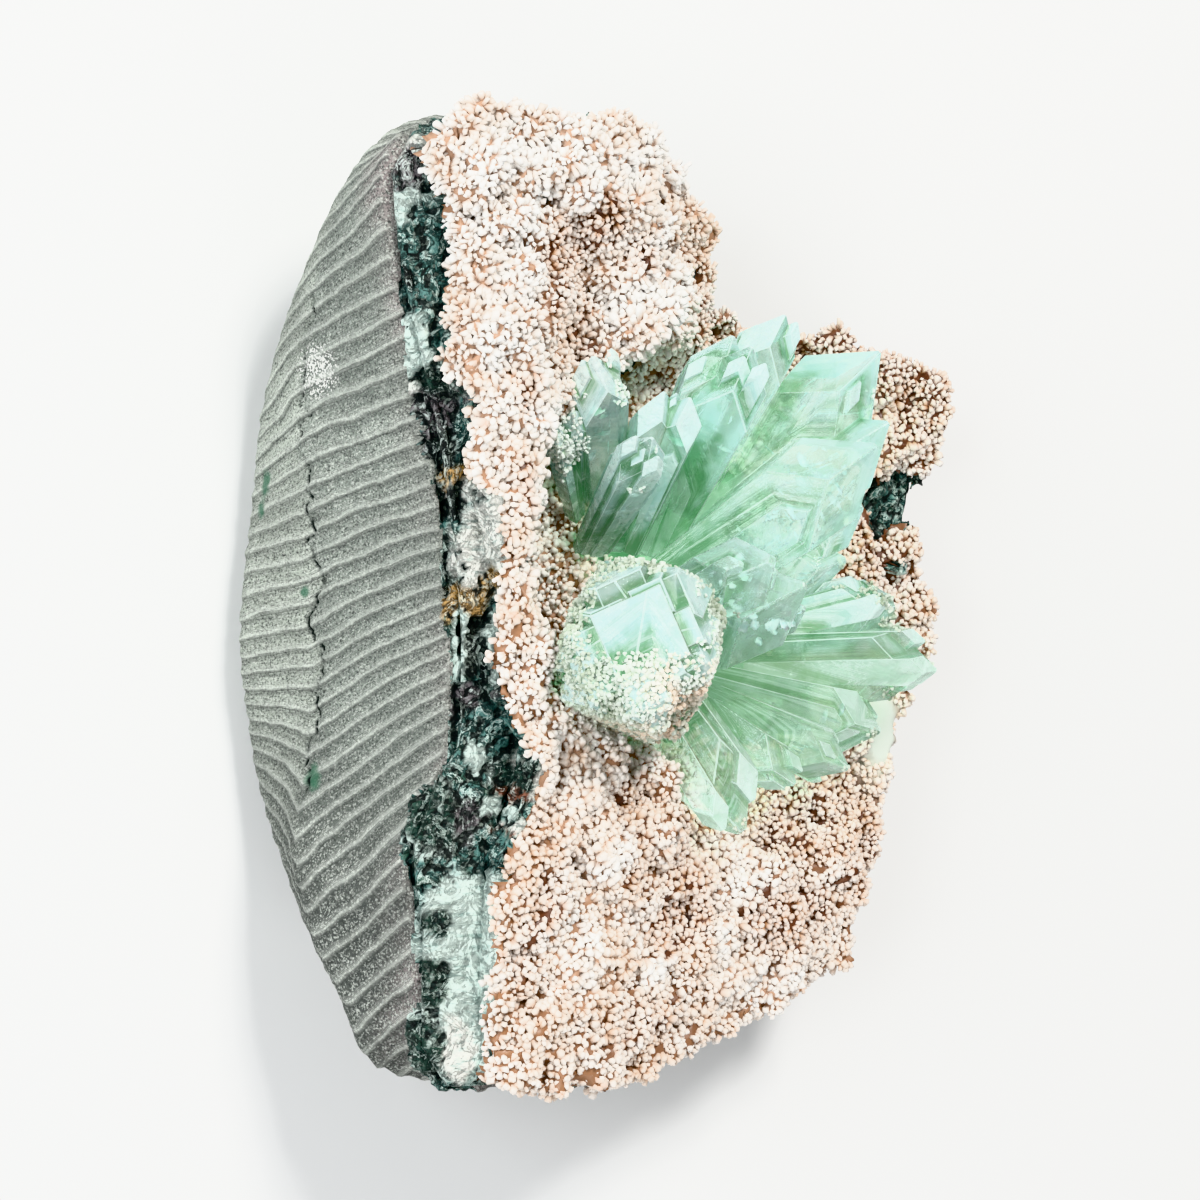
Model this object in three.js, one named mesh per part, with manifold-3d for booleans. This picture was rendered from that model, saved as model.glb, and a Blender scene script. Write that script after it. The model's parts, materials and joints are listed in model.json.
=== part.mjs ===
// Apophyllite cluster on its stone: a wedge of grey-green basalt with tooled sides, the green
// rind that lined the gas pocket, a crust of stilbite blades grown on the rind, and one spray of
// mint green apophyllite crystals rising out of the pocket. Millimetres, +Z up. The specimen lies
// on the flat sawn back of its stone: the back is the plane Z = 0, +Y runs along the specimen.
import * as THREE from 'three';
import { mergeVertices } from 'three/addons/utils/BufferGeometryUtils.js';
import { ImprovedNoise } from 'three/addons/math/ImprovedNoise.js';
import Module from 'manifold-3d';

const wasm = await Module();
wasm.setup();

// Driving dimensions
const SEAT_GAP = 0.35; // clearance between one mineral and the next
const COVER = 11; // rind and crust together, above the stone
const RIND = 5.5; // rind along the edge, where it shows
const RIND_DEEP = 3.2; // rind further in
const RIND_EDGE = 1.8; // rind where it thins out at the stone's edge
const RIDGE_PITCH = 5.3; // spacing of the tool marks on the stone's sides
const RIDGE_DEPTH = 0.9;
const RIDGE_SLANT = 0.107; // turn of a tool mark between crease and rim, in radians
const KEEL_SLANT = 0.043; // its turn the other way, down to the keel
const RIND_INSET = 1.6; // the rind starts this far in from the stone's rim
const CRUST_TUCK = 3; // the crust's underside grips the stone this far in from its edge
const CRUST_LIP = 1.6; // thickness of the crust where it hangs over the stone's edge
const TEETH = 0.6; // how far the crust's edge steps in and out
const BLANK_TOP = 80; // blanks reach this high before they are cut to a surface
const BLANK_BASE = -5;
const BLANK_LEAN = 0.3; // how much of a side's slope its blank keeps above the rim
const HIGH_LEVEL = 60.5; // crust level along the left edge
const LOW_LEVEL = 32.5; // crust level along the right edge
const POCKET_FLOOR = 34;
const STONE_CELL = 15; // facets of the three surfaces
const RIND_CELL = 9;
const CRUST_CELL = 6;
const POCKET = { at: [4, 10], reach: [44, 43] }; // pocket's middle and half sizes

// Outlines seen from above, each listed counter-clockwise from the right. The rim is the stone's
// upper edge, the crease lies between the two tooled facets, the keel is the widest line and the
// foot borders the flat back.
const RIM = [
  [72, 8], [74, 30], [72, 45], [56, 52], [40, 51], [26, 51.5], [13, 58], [10.5, 66.5], [7, 74],
  [-4, 82.5], [-17, 90], [-34, 88], [-46, 90], [-55, 88.5], [-62.7, 86.5], [-66.8, 80],
  [-67.4, 74], [-65.6, 64], [-62, 49], [-58.2, 34], [-55.5, 18], [-53.5, 2], [-53.2, -18],
  [-54, -29], [-59.1, -36.4], [-62.6, -45.3], [-61, -60], [-60.7, -75], [-60, -84], [-55, -90.5],
  [-38.5, -90], [-19.7, -91], [3.5, -86.5], [25, -82], [48, -73], [55, -54], [62, -34],
  [66, -21], [70, -9],
];
const CREASE = [
  [76, 10], [78, 30], [76, 47], [57, 55.5], [40, 55], [26, 56], [17, 62], [13.5, 72.5], [0, 84],
  [-17, 92], [-35, 91], [-50, 91.5], [-61, 86], [-68.3, 74.5], [-70.6, 56.5], [-70.6, 38],
  [-69.7, 19], [-67.6, -7], [-69, -30], [-72.1, -47], [-70.6, -64.5], [-67.2, -73.5],
  [-63.6, -85.5], [-48, -91], [-20, -92], [4, -89], [27, -85], [52, -77], [60, -55], [67, -34],
  [73, -10],
];
const KEEL = [
  [74, 10], [76, 30], [74, 45], [56, 53], [40, 52.5], [25, 53], [14, 59], [10, 70], [-2, 81],
  [-17, 89], [-34, 88.5], [-49, 88.5], [-60, 85], [-67, 74.5], [-70.8, 57.5], [-72, 38.5],
  [-73.6, 19], [-76.3, -8], [-73.6, -29], [-70.9, -47.5], [-68.8, -64.5], [-66, -73.5],
  [-62.2, -84.5], [-47, -89], [-20, -90], [4, -87], [26, -82], [50, -74], [58, -54], [65, -33],
  [71, -10],
];
const FOOT = [
  [66, 5], [68, 25], [62, 40], [35, 45], [10, 50], [-5, 62], [-25, 68], [-45, 62], [-60, 45],
  [-68, 22], [-71, -6], [-68.5, -28], [-61, -48], [-48, -66], [-20, -72], [10, -70], [38, -62],
  [52, -45], [60, -20],
];
const CRUST_EDGE = [
  [71.9, 9], [76.5, 33.9], [74.9, 46.9], [64, 52.5], [55, 55], [41.5, 55.8], [38, 52.8],
  [26, 53.6], [14.5, 60], [13.6, 67.2], [11, 75], [-2, 85], [-17, 92.5], [-33.5, 89.7],
  [-45.1, 92], [-53.4, 89.4], [-62.3, 84.5], [-64.5, 74.5], [-57.5, 67], [-57, 54.3],
  [-59.8, 46], [-55.6, 38.7], [-52.8, 32], [-53, 21.6], [-50.7, 18], [-47.2, 7], [-47.2, -3.6],
  [-49, -14.4], [-44.5, -21.6], [-42.4, -28.9], [-46.4, -41.5], [-49.2, -50.5], [-48.9, -63],
  [-50.2, -74], [-50.5, -88], [-38.5, -91.1], [-19.7, -92.5], [3.5, -87.9], [25.4, -84.2],
  [49.9, -75.4], [54, -64], [58.1, -54.4], [64.4, -33.8], [67.6, -21.2], [73.5, -8.5],
];

// Swells and hollows of the crust: place, reach and rise.
const SWELLS = [
  { at: [-41, 52], reach: [9, 8], rise: 4 },
  { at: [-16, 49], reach: [8, 6], rise: 3 },
  { at: [-4, 55], reach: [9, 8], rise: 5 },
  { at: [-20, 74], reach: [16, 12], rise: 5 },
  { at: [-50, 78], reach: [14, 12], rise: 2 },
  { at: [-29, 66], reach: [9, 6], rise: -6 },
  { at: [-26, 52], reach: [7, 7], rise: -9 },
  { at: [-32, 42], reach: [6, 8], rise: -7 },
  { at: [72, 36], reach: [8, 16], rise: 3 },
  { at: [48, 50], reach: [12, 6], rise: 3.5 },
  { at: [31, -62], reach: [24, 20], rise: 7 },
  { at: [64, -28], reach: [9, 20], rise: -3 },
  { at: [-6, -44], reach: [10, 8], rise: 3 },
];

// Where the crust never closed over the rind.
const BARE = [
  { at: [68, 20.5], reach: [8.5, 5.5], rise: -16 },
];

// Apophyllite crystals, rooted in the pocket. base and tip are the ends of the long axis, width
// and depth the section, turn rolls the section about the axis, and blunt is the part of the
// section that the flat end keeps.
const CRYSTALS = [
  { base: [-9.7, 16.7, 33], tip: [-25.7, 45.4, 55], width: 11, depth: 9, turn: 30, blunt: 0.06 },
  { base: [-13.9, 20.4, 34], tip: [-27.6, 35.3, 51], width: 5.8, depth: 5, turn: 20, blunt: 0.1 },
  { base: [-16, 16.5, 33], tip: [-30.1, 32.8, 49], width: 5, depth: 4.4, turn: 38, blunt: 0.1 },
  { base: [-12.7, 10.7, 34], tip: [-17.7, 30.1, 63], width: 9.6, depth: 7.4, turn: 38, blunt: 0.05 },
  { base: [-7.2, 10.8, 34], tip: [-12.4, 39.1, 59], width: 8.4, depth: 6.6, turn: 24, blunt: 0.06 },
  { base: [-5.2, 10.7, 35], tip: [-7.9, 38, 61], width: 8.6, depth: 7, turn: -6, blunt: 0.05 },
  { base: [-1.7, 10.8, 33], tip: [2.6, 50.3, 60], width: 12.5, depth: 8.4, turn: 14, blunt: 0.05 },
  { base: [1, 10.2, 34], tip: [4.2, 48, 64], width: 14, depth: 10, turn: 2, blunt: 0.04 },
  { base: [6, 14.5, 33], tip: [19.1, 55.6, 54], width: 12, depth: 8.5, turn: 4, blunt: 0.04 },
  { base: [5.6, 9.5, 33], tip: [40.8, 49.2, 56], width: 21, depth: 13, turn: 2, blunt: 0.03 },
  { base: [6.6, 5, 33], tip: [40.7, 35, 59], width: 18, depth: 13, turn: -4, blunt: 0.04 },
  { base: [0.5, 0, 34], tip: [32.4, 29.9, 66], width: 21, depth: 17, turn: 6, blunt: 0.05 },
  { base: [0, -7.5, 33], tip: [12.5, 2.7, 70], width: 22, depth: 18, turn: 14, blunt: 0.05 },
  { base: [0, -4, 34], tip: [1.8, 7.4, 74], width: 15, depth: 13, turn: -6, blunt: 0.1 },
  { base: [-1.7, -14.2, 34], tip: [-28.4, -6.1, 75.5], width: 30, depth: 29, turn: 64, blunt: 0.42 },
  { base: [10.8, 2, 32], tip: [36.9, 8, 50], width: 12, depth: 10, turn: 14, blunt: 0.08 },
  { base: [10.8, 0, 32], tip: [40.9, 19, 50], width: 13, depth: 11, turn: 0, blunt: 0.08 },
  { base: [14, -9, 32], tip: [54.1, -1.2, 43], width: 14, depth: 9, turn: 8, blunt: 0.16 },
  { base: [12, -13, 33], tip: [62.4, -13.4, 45], width: 16, depth: 10, turn: 14, blunt: 0.05 },
  { base: [10, -16, 34], tip: [49.3, -26.6, 45], width: 14, depth: 9, turn: 0, blunt: 0.05 },
  { base: [8, -18, 35], tip: [39.6, -34, 47], width: 11, depth: 8, turn: 10, blunt: 0.06 },
  { base: [5, -18, 35], tip: [25.1, -36.4, 49], width: 11, depth: 8, turn: 4, blunt: 0.06 },
  { base: [-2, -15, 36], tip: [11.7, -45.2, 50], width: 18, depth: 12, turn: 14, blunt: 0.08 },
];
const PYRAMID = 1.25; // length of a pyramid over the width of its prism, as the species has it
const PRISM_FLARE = 0.62; // a crystal's root, as a share of its full section
const OUTLOOK = new THREE.Vector3(-0.53, 0, 0.85).normalize(); // the way the pocket opens

const { clamp, lerp, smoothstep, degToRad } = THREE.MathUtils;
const noise = new ImprovedNoise();

// Solids and booleans

function toSolid(geometry) {
  const plain = geometry.clone();
  plain.deleteAttribute('normal');
  plain.deleteAttribute('uv');
  const welded = mergeVertices(plain, 1e-4);
  return new wasm.Manifold(new wasm.Mesh({
    numProp: 3,
    vertProperties: new Float32Array(welded.attributes.position.array),
    triVerts: new Uint32Array(welded.index.array),
  }));
}

function toGeometry(solid) {
  const { vertProperties, triVerts } = solid.getMesh();
  const geometry = new THREE.BufferGeometry();
  geometry.setAttribute('position', new THREE.BufferAttribute(vertProperties, 3));
  geometry.setIndex(new THREE.BufferAttribute(triVerts, 1));
  geometry.computeVertexNormals();
  return geometry;
}

// Outlines as polar curves

function makeOutline(points) {
  const curve = new THREE.CatmullRomCurve3(points.map(([x, y]) => new THREE.Vector3(x, y, 0)), true);
  const samples = curve.getSpacedPoints(points.length * 12);
  const polar = samples.map((p) => ({ angle: turnOf(p.x, p.y), radius: Math.hypot(p.x, p.y) }));
  polar.pop();
  polar.sort((a, b) => a.angle - b.angle);
  return { curve, polar };
}

function turnOf(x, y) {
  const angle = Math.atan2(y, x);
  return angle < 0 ? angle + 2 * Math.PI : angle;
}

function radiusAt(outline, angle) {
  const full = 2 * Math.PI;
  const wanted = ((angle % full) + full) % full;
  const { polar } = outline;
  let next = polar.findIndex((p) => p.angle > wanted);
  if (next < 0) next = 0;
  const a = polar[(next + polar.length - 1) % polar.length];
  const b = polar[next];
  const span = (b.angle - a.angle + full) % full;
  const along = (wanted - a.angle + full) % full;
  return lerp(a.radius, b.radius, span > 0 ? along / span : 0);
}

// A closed body of stacked rings: a lathe blank whose every point is then put in its place.
// place(column, ring) gives the point; the first and last rings are the poles.
function loft(columns, rings, place) {
  const profile = [];
  for (let ring = 0; ring < rings; ring += 1) {
    const share = ring / (rings - 1);
    const onAxis = ring === 0 || ring === rings - 1;
    profile.push(new THREE.Vector2(onAxis ? 0 : 1, share));
  }
  const blank = new THREE.LatheGeometry(profile, columns);
  const position = blank.attributes.position;
  for (let column = 0; column <= columns; column += 1) {
    for (let ring = 0; ring < rings; ring += 1) {
      const [x, y, z] = place(column % columns, ring);
      position.setXYZ(column * rings + ring, x, y, z);
    }
  }
  return toSolid(blank);
}

// Everything below a surface, as a block of square columns.
function ground(cell, height, lowest) {
  const [wide, long] = [190, 220];
  const block = new THREE.BoxGeometry(wide, long, 1, Math.round(wide / cell), Math.round(long / cell), 1);
  const position = block.attributes.position;
  for (let i = 0; i < position.count; i += 1) {
    const x = position.getX(i);
    const y = position.getY(i);
    const top = position.getZ(i) > 0;
    position.setZ(i, top ? height(x, y) : lowest);
  }
  return toSolid(block);
}

// Surfaces

function ellipseReach({ at, reach }, x, y) {
  return Math.hypot((x - at[0]) / reach[0], (y - at[1]) / reach[1]);
}

// The general level of the crust: a slope from the high left edge to the low right one, the
// pocket let into it, and its swells and hollows.
function level(x, y) {
  const slope = lerp(HIGH_LEVEL, LOW_LEVEL, smoothstep(x, -44, 44));
  const pocket = 1 - smoothstep(ellipseReach(POCKET, x, y), 0.76, 1.02);
  const z = lerp(slope, Math.min(slope, POCKET_FLOOR), pocket);
  return z + swelling(SWELLS, x, y);
}

function swelling(places, x, y) {
  return places.reduce((sum, place) => sum + place.rise * Math.exp(-(ellipseReach(place, x, y) ** 2)), 0);
}

function lumps(x, y, size, seed) {
  return noise.noise(x / size, y / size, seed);
}

function stoneTop(x, y) {
  return level(x, y) - COVER + 1.2 * lumps(x, y, 9, 1.7);
}

function rindTop(x, y) {
  const inside = radiusAt(rim, turnOf(x, y)) - RIND_INSET - Math.hypot(x, y);
  const swollen = lerp(RIND_EDGE, RIND, smoothstep(inside, 0, 8));
  const thick = lerp(swollen, RIND_DEEP, smoothstep(inside, 10, 20));
  const shown = 1 - smoothstep(inside, 9, 16);
  return level(x, y) - COVER + thick + shown * 2.4 * lumps(x, y, 6, 4.3);
}

function crustTop(x, y) {
  const knobs = 2.2 * lumps(x, y, 9, 21.5) + 3.6 * lumps(x, y, 4.6, 33.3);
  return level(x, y) + Math.max(knobs, -1.4) + swelling(BARE, x, y);
}

// The stone

const rim = makeOutline(RIM);
const crease = makeOutline(CREASE);
const keel = makeOutline(KEEL);
const foot = makeOutline(FOOT);
const crustEdge = makeOutline(CRUST_EDGE);

// The tooled facets stand highest on the left side and run out towards both ends.
function creaseHeight(x, y) {
  const left = smoothstep(-x, -10, 50);
  const end = smoothstep(Math.abs(y), 38, 90);
  return lerp(13, 22 + 14 * end, left);
}

function keelHeight(x, y) {
  const left = smoothstep(-x, -10, 50);
  const end = smoothstep(Math.abs(y), 30, 88);
  return lerp(6, 8 + 26 * end, left);
}

function polarPoint(outline, angle, outward = 0) {
  const radius = radiusAt(outline, angle) + outward;
  return [radius * Math.cos(angle), radius * Math.sin(angle)];
}

function buildStone() {
  const ridges = Math.round(crease.curve.getLength() / RIDGE_PITCH);
  const columns = 2 * ridges;
  const marks = crease.curve.getSpacedPoints(columns);
  const angles = marks.map((p) => turnOf(p.x, p.y));
  const blank = loft(columns, 7, (column, ring) => {
    const angle = angles[column];
    const tool = (column % 2 ? -0.5 : 0.5) * RIDGE_DEPTH;
    const [rx, ry] = polarPoint(rim, angle - RIDGE_SLANT, tool);
    const [cx, cy] = polarPoint(crease, angle, tool);
    const [kx, ky] = polarPoint(keel, angle + KEEL_SLANT, tool);
    const [fx, fy] = polarPoint(foot, angle + KEEL_SLANT);
    const creaseZ = creaseHeight(cx, cy);
    const rimZ = stoneTop(rx, ry);
    const above = (BLANK_LEAN * (BLANK_TOP - rimZ)) / (rimZ - creaseZ);
    const [leanX, leanY] = [clamp(rx - cx, -9, 9) * above, clamp(ry - cy, -9, 9) * above];
    return [
      [0, 0, 0],
      [fx, fy, 0],
      [kx, ky, Math.min(keelHeight(kx, ky), creaseZ - 1)],
      [cx, cy, creaseZ],
      [rx, ry, rimZ],
      [rx + leanX, ry + leanY, BLANK_TOP],
      [0, 0, BLANK_TOP],
    ][ring];
  });
  return blank.intersect(ground(STONE_CELL, stoneTop, BLANK_BASE));
}

// The rind lines the stone and shows along its left edge.
function buildRind(stone) {
  const columns = 80;
  const blank = loft(columns, 5, (column, ring) => {
    const angle = (column / columns) * 2 * Math.PI;
    const [x, y] = polarPoint(rim, angle, -RIND_INSET);
    const rimZ = stoneTop(x, y);
    const tuck = polarPoint(rim, angle, -RIND_INSET - 5);
    return [[0, 0, 5], [...tuck, rimZ - 8], [x, y, rimZ], [x, y, BLANK_TOP], [0, 0, BLANK_TOP]][ring];
  });
  const raised = stone.translate([0, 0, SEAT_GAP]);
  return blank.intersect(ground(RIND_CELL, rindTop, BLANK_BASE)).subtract(raised);
}

// The crust covers the rind, hangs over the edges of the stone and falls into the pocket.
function buildCrust(stone, rind) {
  const columns = 90;
  const blank = loft(columns, 6, (column, ring) => {
    const angle = (column / columns) * 2 * Math.PI;
    const [x, y] = polarPoint(crustEdge, angle, column % 2 ? -TEETH : TEETH);
    const inner = Math.min(radiusAt(crustEdge, angle), radiusAt(rim, angle)) - CRUST_TUCK;
    const tuck = [inner * Math.cos(angle), inner * Math.sin(angle)];
    const low = stoneTop(x, y) + RIND_EDGE + 3 * SEAT_GAP;
    return [
      [0, 0, 4],
      [...tuck, low - 8],
      [...tuck, low],
      [x, y, low + CRUST_LIP],
      [x, y, BLANK_TOP],
      [0, 0, BLANK_TOP],
    ][ring];
  });
  const surface = ground(CRUST_CELL, crustTop, BLANK_BASE);
  const crust = blank.intersect(surface)
    .subtract(rind.translate([0, 0, SEAT_GAP]))
    .subtract(stone.translate([0, 0, 3 * SEAT_GAP]));
  return { crust, surface };
}

// A square prism that widens from its root, cut by a four-sided pyramid turned half a quarter
// against it, so that the pyramid's faces cut the prism's corners.
function buildCrystal({ base, tip, width, depth, turn, blunt }) {
  const root = new THREE.Vector3(...base);
  const along = new THREE.Vector3(...tip).sub(root);
  const length = along.length();
  along.normalize();
  const front = OUTLOOK.clone().addScaledVector(along, -OUTLOOK.dot(along)).normalize();
  const side = new THREE.Vector3().crossVectors(front, along);
  const place = new THREE.Matrix4().makeBasis(side, front, along).setPosition(root);
  place.multiply(new THREE.Matrix4().makeRotationZ(degToRad(turn)));
  place.multiply(new THREE.Matrix4().makeScale(width, depth, 1));

  const corner = Math.SQRT1_2;
  const prism = new THREE.CylinderGeometry(corner, corner * PRISM_FLARE, length, 4);
  prism.rotateX(Math.PI / 2);
  prism.rotateZ(Math.PI / 4);
  prism.translate(0, 0, length / 2);

  const taper = 1 / (PYRAMID * width);
  const reach = 1.02 + taper * length;
  const pyramid = new THREE.CylinderGeometry(blunt, blunt + reach, reach / taper, 4);
  pyramid.rotateX(Math.PI / 2);
  pyramid.translate(0, 0, length - reach / taper / 2);

  return toSolid(prism.applyMatrix4(place)).intersect(toSolid(pyramid.applyMatrix4(place)));
}

function buildSpray(surface) {
  const crystals = CRYSTALS.map(buildCrystal);
  const joined = crystals.reduce((whole, crystal) => whole.add(crystal));
  return joined.subtract(surface.translate([0, 0, SEAT_GAP]));
}

const stone = buildStone();
const rind = buildRind(stone);
const { crust, surface } = buildCrust(stone, rind);
const spray = buildSpray(surface);

const LOOKS = {
  basalt_matrix: { solid: stone, color: 0x6f7068, roughness: 0.85 },
  celadonite_rind: { solid: rind, color: 0x24483f, roughness: 0.8 },
  stilbite_druse: { solid: crust, color: 0xe6c9b8, roughness: 0.55 },
  apophyllite_spray: { solid: spray, color: 0x9fdcb4, roughness: 0.12 },
};

const specimen = new THREE.Group();
for (const [name, { solid, color, roughness }] of Object.entries(LOOKS)) {
  const material = new THREE.MeshStandardMaterial({ color, roughness, metalness: 0, flatShading: true });
  const mesh = new THREE.Mesh(toGeometry(solid), material);
  mesh.name = name;
  specimen.add(mesh);
}

export default specimen;
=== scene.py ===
"""Apophyllite cluster on its stone: builds the dressed specimen over the frame of its solids."""

import json
import math
import random

import bmesh
import bpy
import numpy as np
from bpy.props import FloatProperty, FloatVectorProperty, IntProperty, PointerProperty
from bpy.types import Operator, Panel, PropertyGroup
from mathutils import Euler, Matrix, Vector, noise

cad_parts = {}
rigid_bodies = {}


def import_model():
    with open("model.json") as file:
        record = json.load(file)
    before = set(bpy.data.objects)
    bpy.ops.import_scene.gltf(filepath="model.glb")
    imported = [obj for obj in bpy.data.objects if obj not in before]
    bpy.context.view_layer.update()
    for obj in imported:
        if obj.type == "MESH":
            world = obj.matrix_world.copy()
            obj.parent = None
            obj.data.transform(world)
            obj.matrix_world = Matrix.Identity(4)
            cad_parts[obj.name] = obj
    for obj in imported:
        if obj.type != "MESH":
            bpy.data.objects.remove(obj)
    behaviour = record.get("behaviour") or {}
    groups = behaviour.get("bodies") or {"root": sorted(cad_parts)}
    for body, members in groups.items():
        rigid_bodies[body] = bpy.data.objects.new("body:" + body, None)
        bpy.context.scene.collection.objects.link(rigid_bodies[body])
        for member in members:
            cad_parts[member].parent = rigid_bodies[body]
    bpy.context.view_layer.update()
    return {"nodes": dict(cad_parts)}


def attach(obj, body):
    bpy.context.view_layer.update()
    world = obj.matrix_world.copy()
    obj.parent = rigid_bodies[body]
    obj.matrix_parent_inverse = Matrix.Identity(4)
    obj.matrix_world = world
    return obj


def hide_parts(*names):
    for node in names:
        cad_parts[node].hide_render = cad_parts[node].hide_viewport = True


bl_info = {
    "name": "Apophyllite cluster",
    "version": (1, 0, 0),
    "blender": (4, 5, 0),
    "location": "3D View > Sidebar > Specimen",
    "description": "Builds a specimen: tooled basalt, green rind, stilbite crust and apophyllite spray",
    "category": "Add Mesh",
}

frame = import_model()
MM = 0.001


# Sizes and colours


def colour(name, description, default):
    return FloatVectorProperty(
        name=name, description=description, default=default, subtype="COLOR", size=3, min=0.0, max=1.0
    )


def length(name, description, millimetres):
    return FloatProperty(
        name=name, description=description, default=millimetres * MM,
        unit="LENGTH", subtype="DISTANCE", precision=5,
    )


class StoneSettings(PropertyGroup):
    cell: length("Mesh cell", "Size of the faces of the stone", 0.9)
    pitch: length("Pitch", "Spacing of the tool marks", 4.5)
    tool_depth: length("Tool marks", "Depth of the tool marks", 0.5)
    grain: length("Grain", "Height of the rough grain on the tooled sides", 0.1)
    chips: length("Chips", "Depth of the chips between the tool marks", 0.35)
    crack: length("Crack", "Depth of the crack that wanders along the crease", 0.9)
    base: colour("Stone", "Fresh tooled basalt", (0.31, 0.35, 0.305))
    # Painted light: the lower facet is drawn paler, as if more light fell on it.
    pale: colour("Pale stone", "Weathered basalt on the lower facet", (0.48, 0.53, 0.455))
    # Real dark grains, and also the colour of the painted shade in the tool marks and towards the low end.
    dark_grain_and_shade: colour("Dark grain", "Dark grains and the bottoms of the tool marks", (0.055, 0.06, 0.055))
    brown: colour("Baked edge", "Purple-brown stone along the rind", (0.3, 0.26, 0.25))
    ochre: colour("Ochre", "Iron stain", (0.5, 0.3, 0.1))
    green: colour("Amygdale", "Small green fillings of gas bubbles", (0.05, 0.15, 0.09))


class RindSettings(PropertyGroup):
    cell: length("Mesh cell", "Size of the faces of the rind", 0.75)
    lump: length("Lumps", "Height of the lumps and pits of the rind", 1.5)
    teal: colour("Celadonite", "Blue-green earthy rind", (0.085, 0.19, 0.17))
    # Real black of the pits, and also the painted shade in the rind's hollows.
    black_and_shade: colour("Pits", "Black of the pits", (0.008, 0.011, 0.01))
    moss: colour("Nodules", "Dark green round nodules", (0.035, 0.085, 0.06))
    mint: colour("Chalcedony", "Pale banded chalcedony", (0.68, 0.8, 0.73))
    chalk: colour("White lumps", "Cream and white lumps", (0.82, 0.82, 0.75))
    ochre: colour("Ochre", "Iron stain", (0.52, 0.32, 0.12))
    rust: colour("Rust", "Red-brown streaks", (0.26, 0.1, 0.06))
    ash: colour("Ash", "Grey-purple bands of stone in the rind", (0.17, 0.155, 0.16))


class CrustSettings(PropertyGroup):
    cell: length("Mesh cell", "Size of the faces of the bed under the crystals", 0.86)
    knob: length("Knobs", "Height of the coral-like knobs", 3.9)
    twig: length("Twigs", "Height of the small lumps on the knobs", 1.7)
    sink: length("Sink", "How far the bed lies under the crust's own surface", 1.4)
    spacing: length("Spacing", "Least distance between two tufts", 1.55)
    seed: IntProperty(name="Seed", description="Start of the random growth", default=7)
    white: colour("Tips", "White tips of the crystals", (0.91, 0.895, 0.865))
    cream: colour("Crystals", "Warm cream of the crystals", (0.78, 0.62, 0.49))
    # Painted light: peach in the gaps and towards the roots of the crystals, as light glowing through them.
    painted_glow: colour("Seams", "Peach between the crystals", (0.8, 0.58, 0.45))
    # Real tan stain in places, and painted shade towards the roots of the crystals and in the gaps of the
    # bed.
    tan: colour("Roots", "Tan towards the roots", (0.46, 0.25, 0.13))
    # Brown stain of the crevices in places, and painted shade in the dark gaps between the crystals, where
    # the bed shows.
    brown: colour("Crevices", "Brown of the deep crevices", (0.1, 0.035, 0.015))
    pale: colour("Chalcedony", "Pale grey of the bare facet at the edge", (0.62, 0.66, 0.6))
    green: colour("Floor of the spray", "Green stone that the spray stands on", (0.17, 0.33, 0.2))


class SpraySettings(PropertyGroup):
    bevel: length("Edge", "Width of the worn edges of the crystals", 0.22)
    veil: length("Veil", "Size of the healed cracks inside the crystals", 8.5)
    seed: IntProperty(name="Seed", description="Start of the random growth", default=11)
    coat_cell: length("Coat cell", "Size of the faces of the bed that the coat grows from", 0.7)
    coat_spacing: length("Coat spacing", "Least distance between two tufts of the coat", 1.0)
    clear: colour("Clear", "Clear mint green", (0.61, 0.8, 0.79))
    milky: colour("Milky", "Cloudy mint green", (0.52, 0.74, 0.73))
    tip: colour("Tip", "Pale blue-green towards the tips", (0.68, 0.82, 0.84))
    grains: colour("Coat tips", "White tips of the coat", (0.82, 0.87, 0.83))
    sage: colour("Sage", "Duller green of the low crystals", (0.4, 0.54, 0.38))
    root: colour("Root", "Deep green near the roots", (0.17, 0.37, 0.2))
    # Also the colour of the painted glints on the crystals.
    frost: colour("Frost", "White of the frosted tips", (0.78, 0.9, 0.87))
    # Painted in patches as dark reflections inside the crystals.
    olive: colour("Depth", "Olive green seen deep inside", (0.22, 0.42, 0.22))
    coat: colour("Coat", "Green-grey of the coat away from the light", (0.36, 0.42, 0.31))
    tint: colour("Absorption", "Colour that light keeps inside a crystal", (0.68, 0.89, 0.8))
    depth: FloatProperty(name="Absorption density", description="Per metre", default=9.0, min=0.0)
    clarity: FloatProperty(
        name="Clarity", description="How see-through the clear crystals are", default=0.72, subtype="FACTOR"
    )
    haze: FloatProperty(
        name="Haze", description="How see-through the cloudy crystals are", default=0.33, subtype="FACTOR"
    )


class StageSettings(PropertyGroup):
    floor: colour("Floor", "Plain pale floor", (0.78, 0.78, 0.77))
    distance: length("Distance", "From the camera to the middle of the specimen", 560.0)
    elevation: FloatProperty(
        name="Elevation", description="Height of the camera over the floor", default=math.radians(58.0),
        subtype="ANGLE",
    )
    lens: FloatProperty(name="Lens", description="Focal length", default=87.36, unit="CAMERA")


class SpecimenSettings(PropertyGroup):
    stone: PointerProperty(type=StoneSettings, name="Stone", description="Basalt")
    rind: PointerProperty(type=RindSettings, name="Rind", description="Celadonite rind")
    crust: PointerProperty(type=CrustSettings, name="Crust", description="Stilbite crust")
    spray: PointerProperty(type=SpraySettings, name="Spray", description="Apophyllite spray")
    stage: PointerProperty(type=StageSettings, name="Stage", description="Floor, lights and camera")


# Small helpers


def smoothstep(low, high, value):
    """0 up to low, 1 from high on, and a smooth rise between; it falls where low is the greater."""
    t = np.clip((value - low) / (high - low), 0.0, 1.0)
    return t * t * (3.0 - 2.0 * t)


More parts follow.
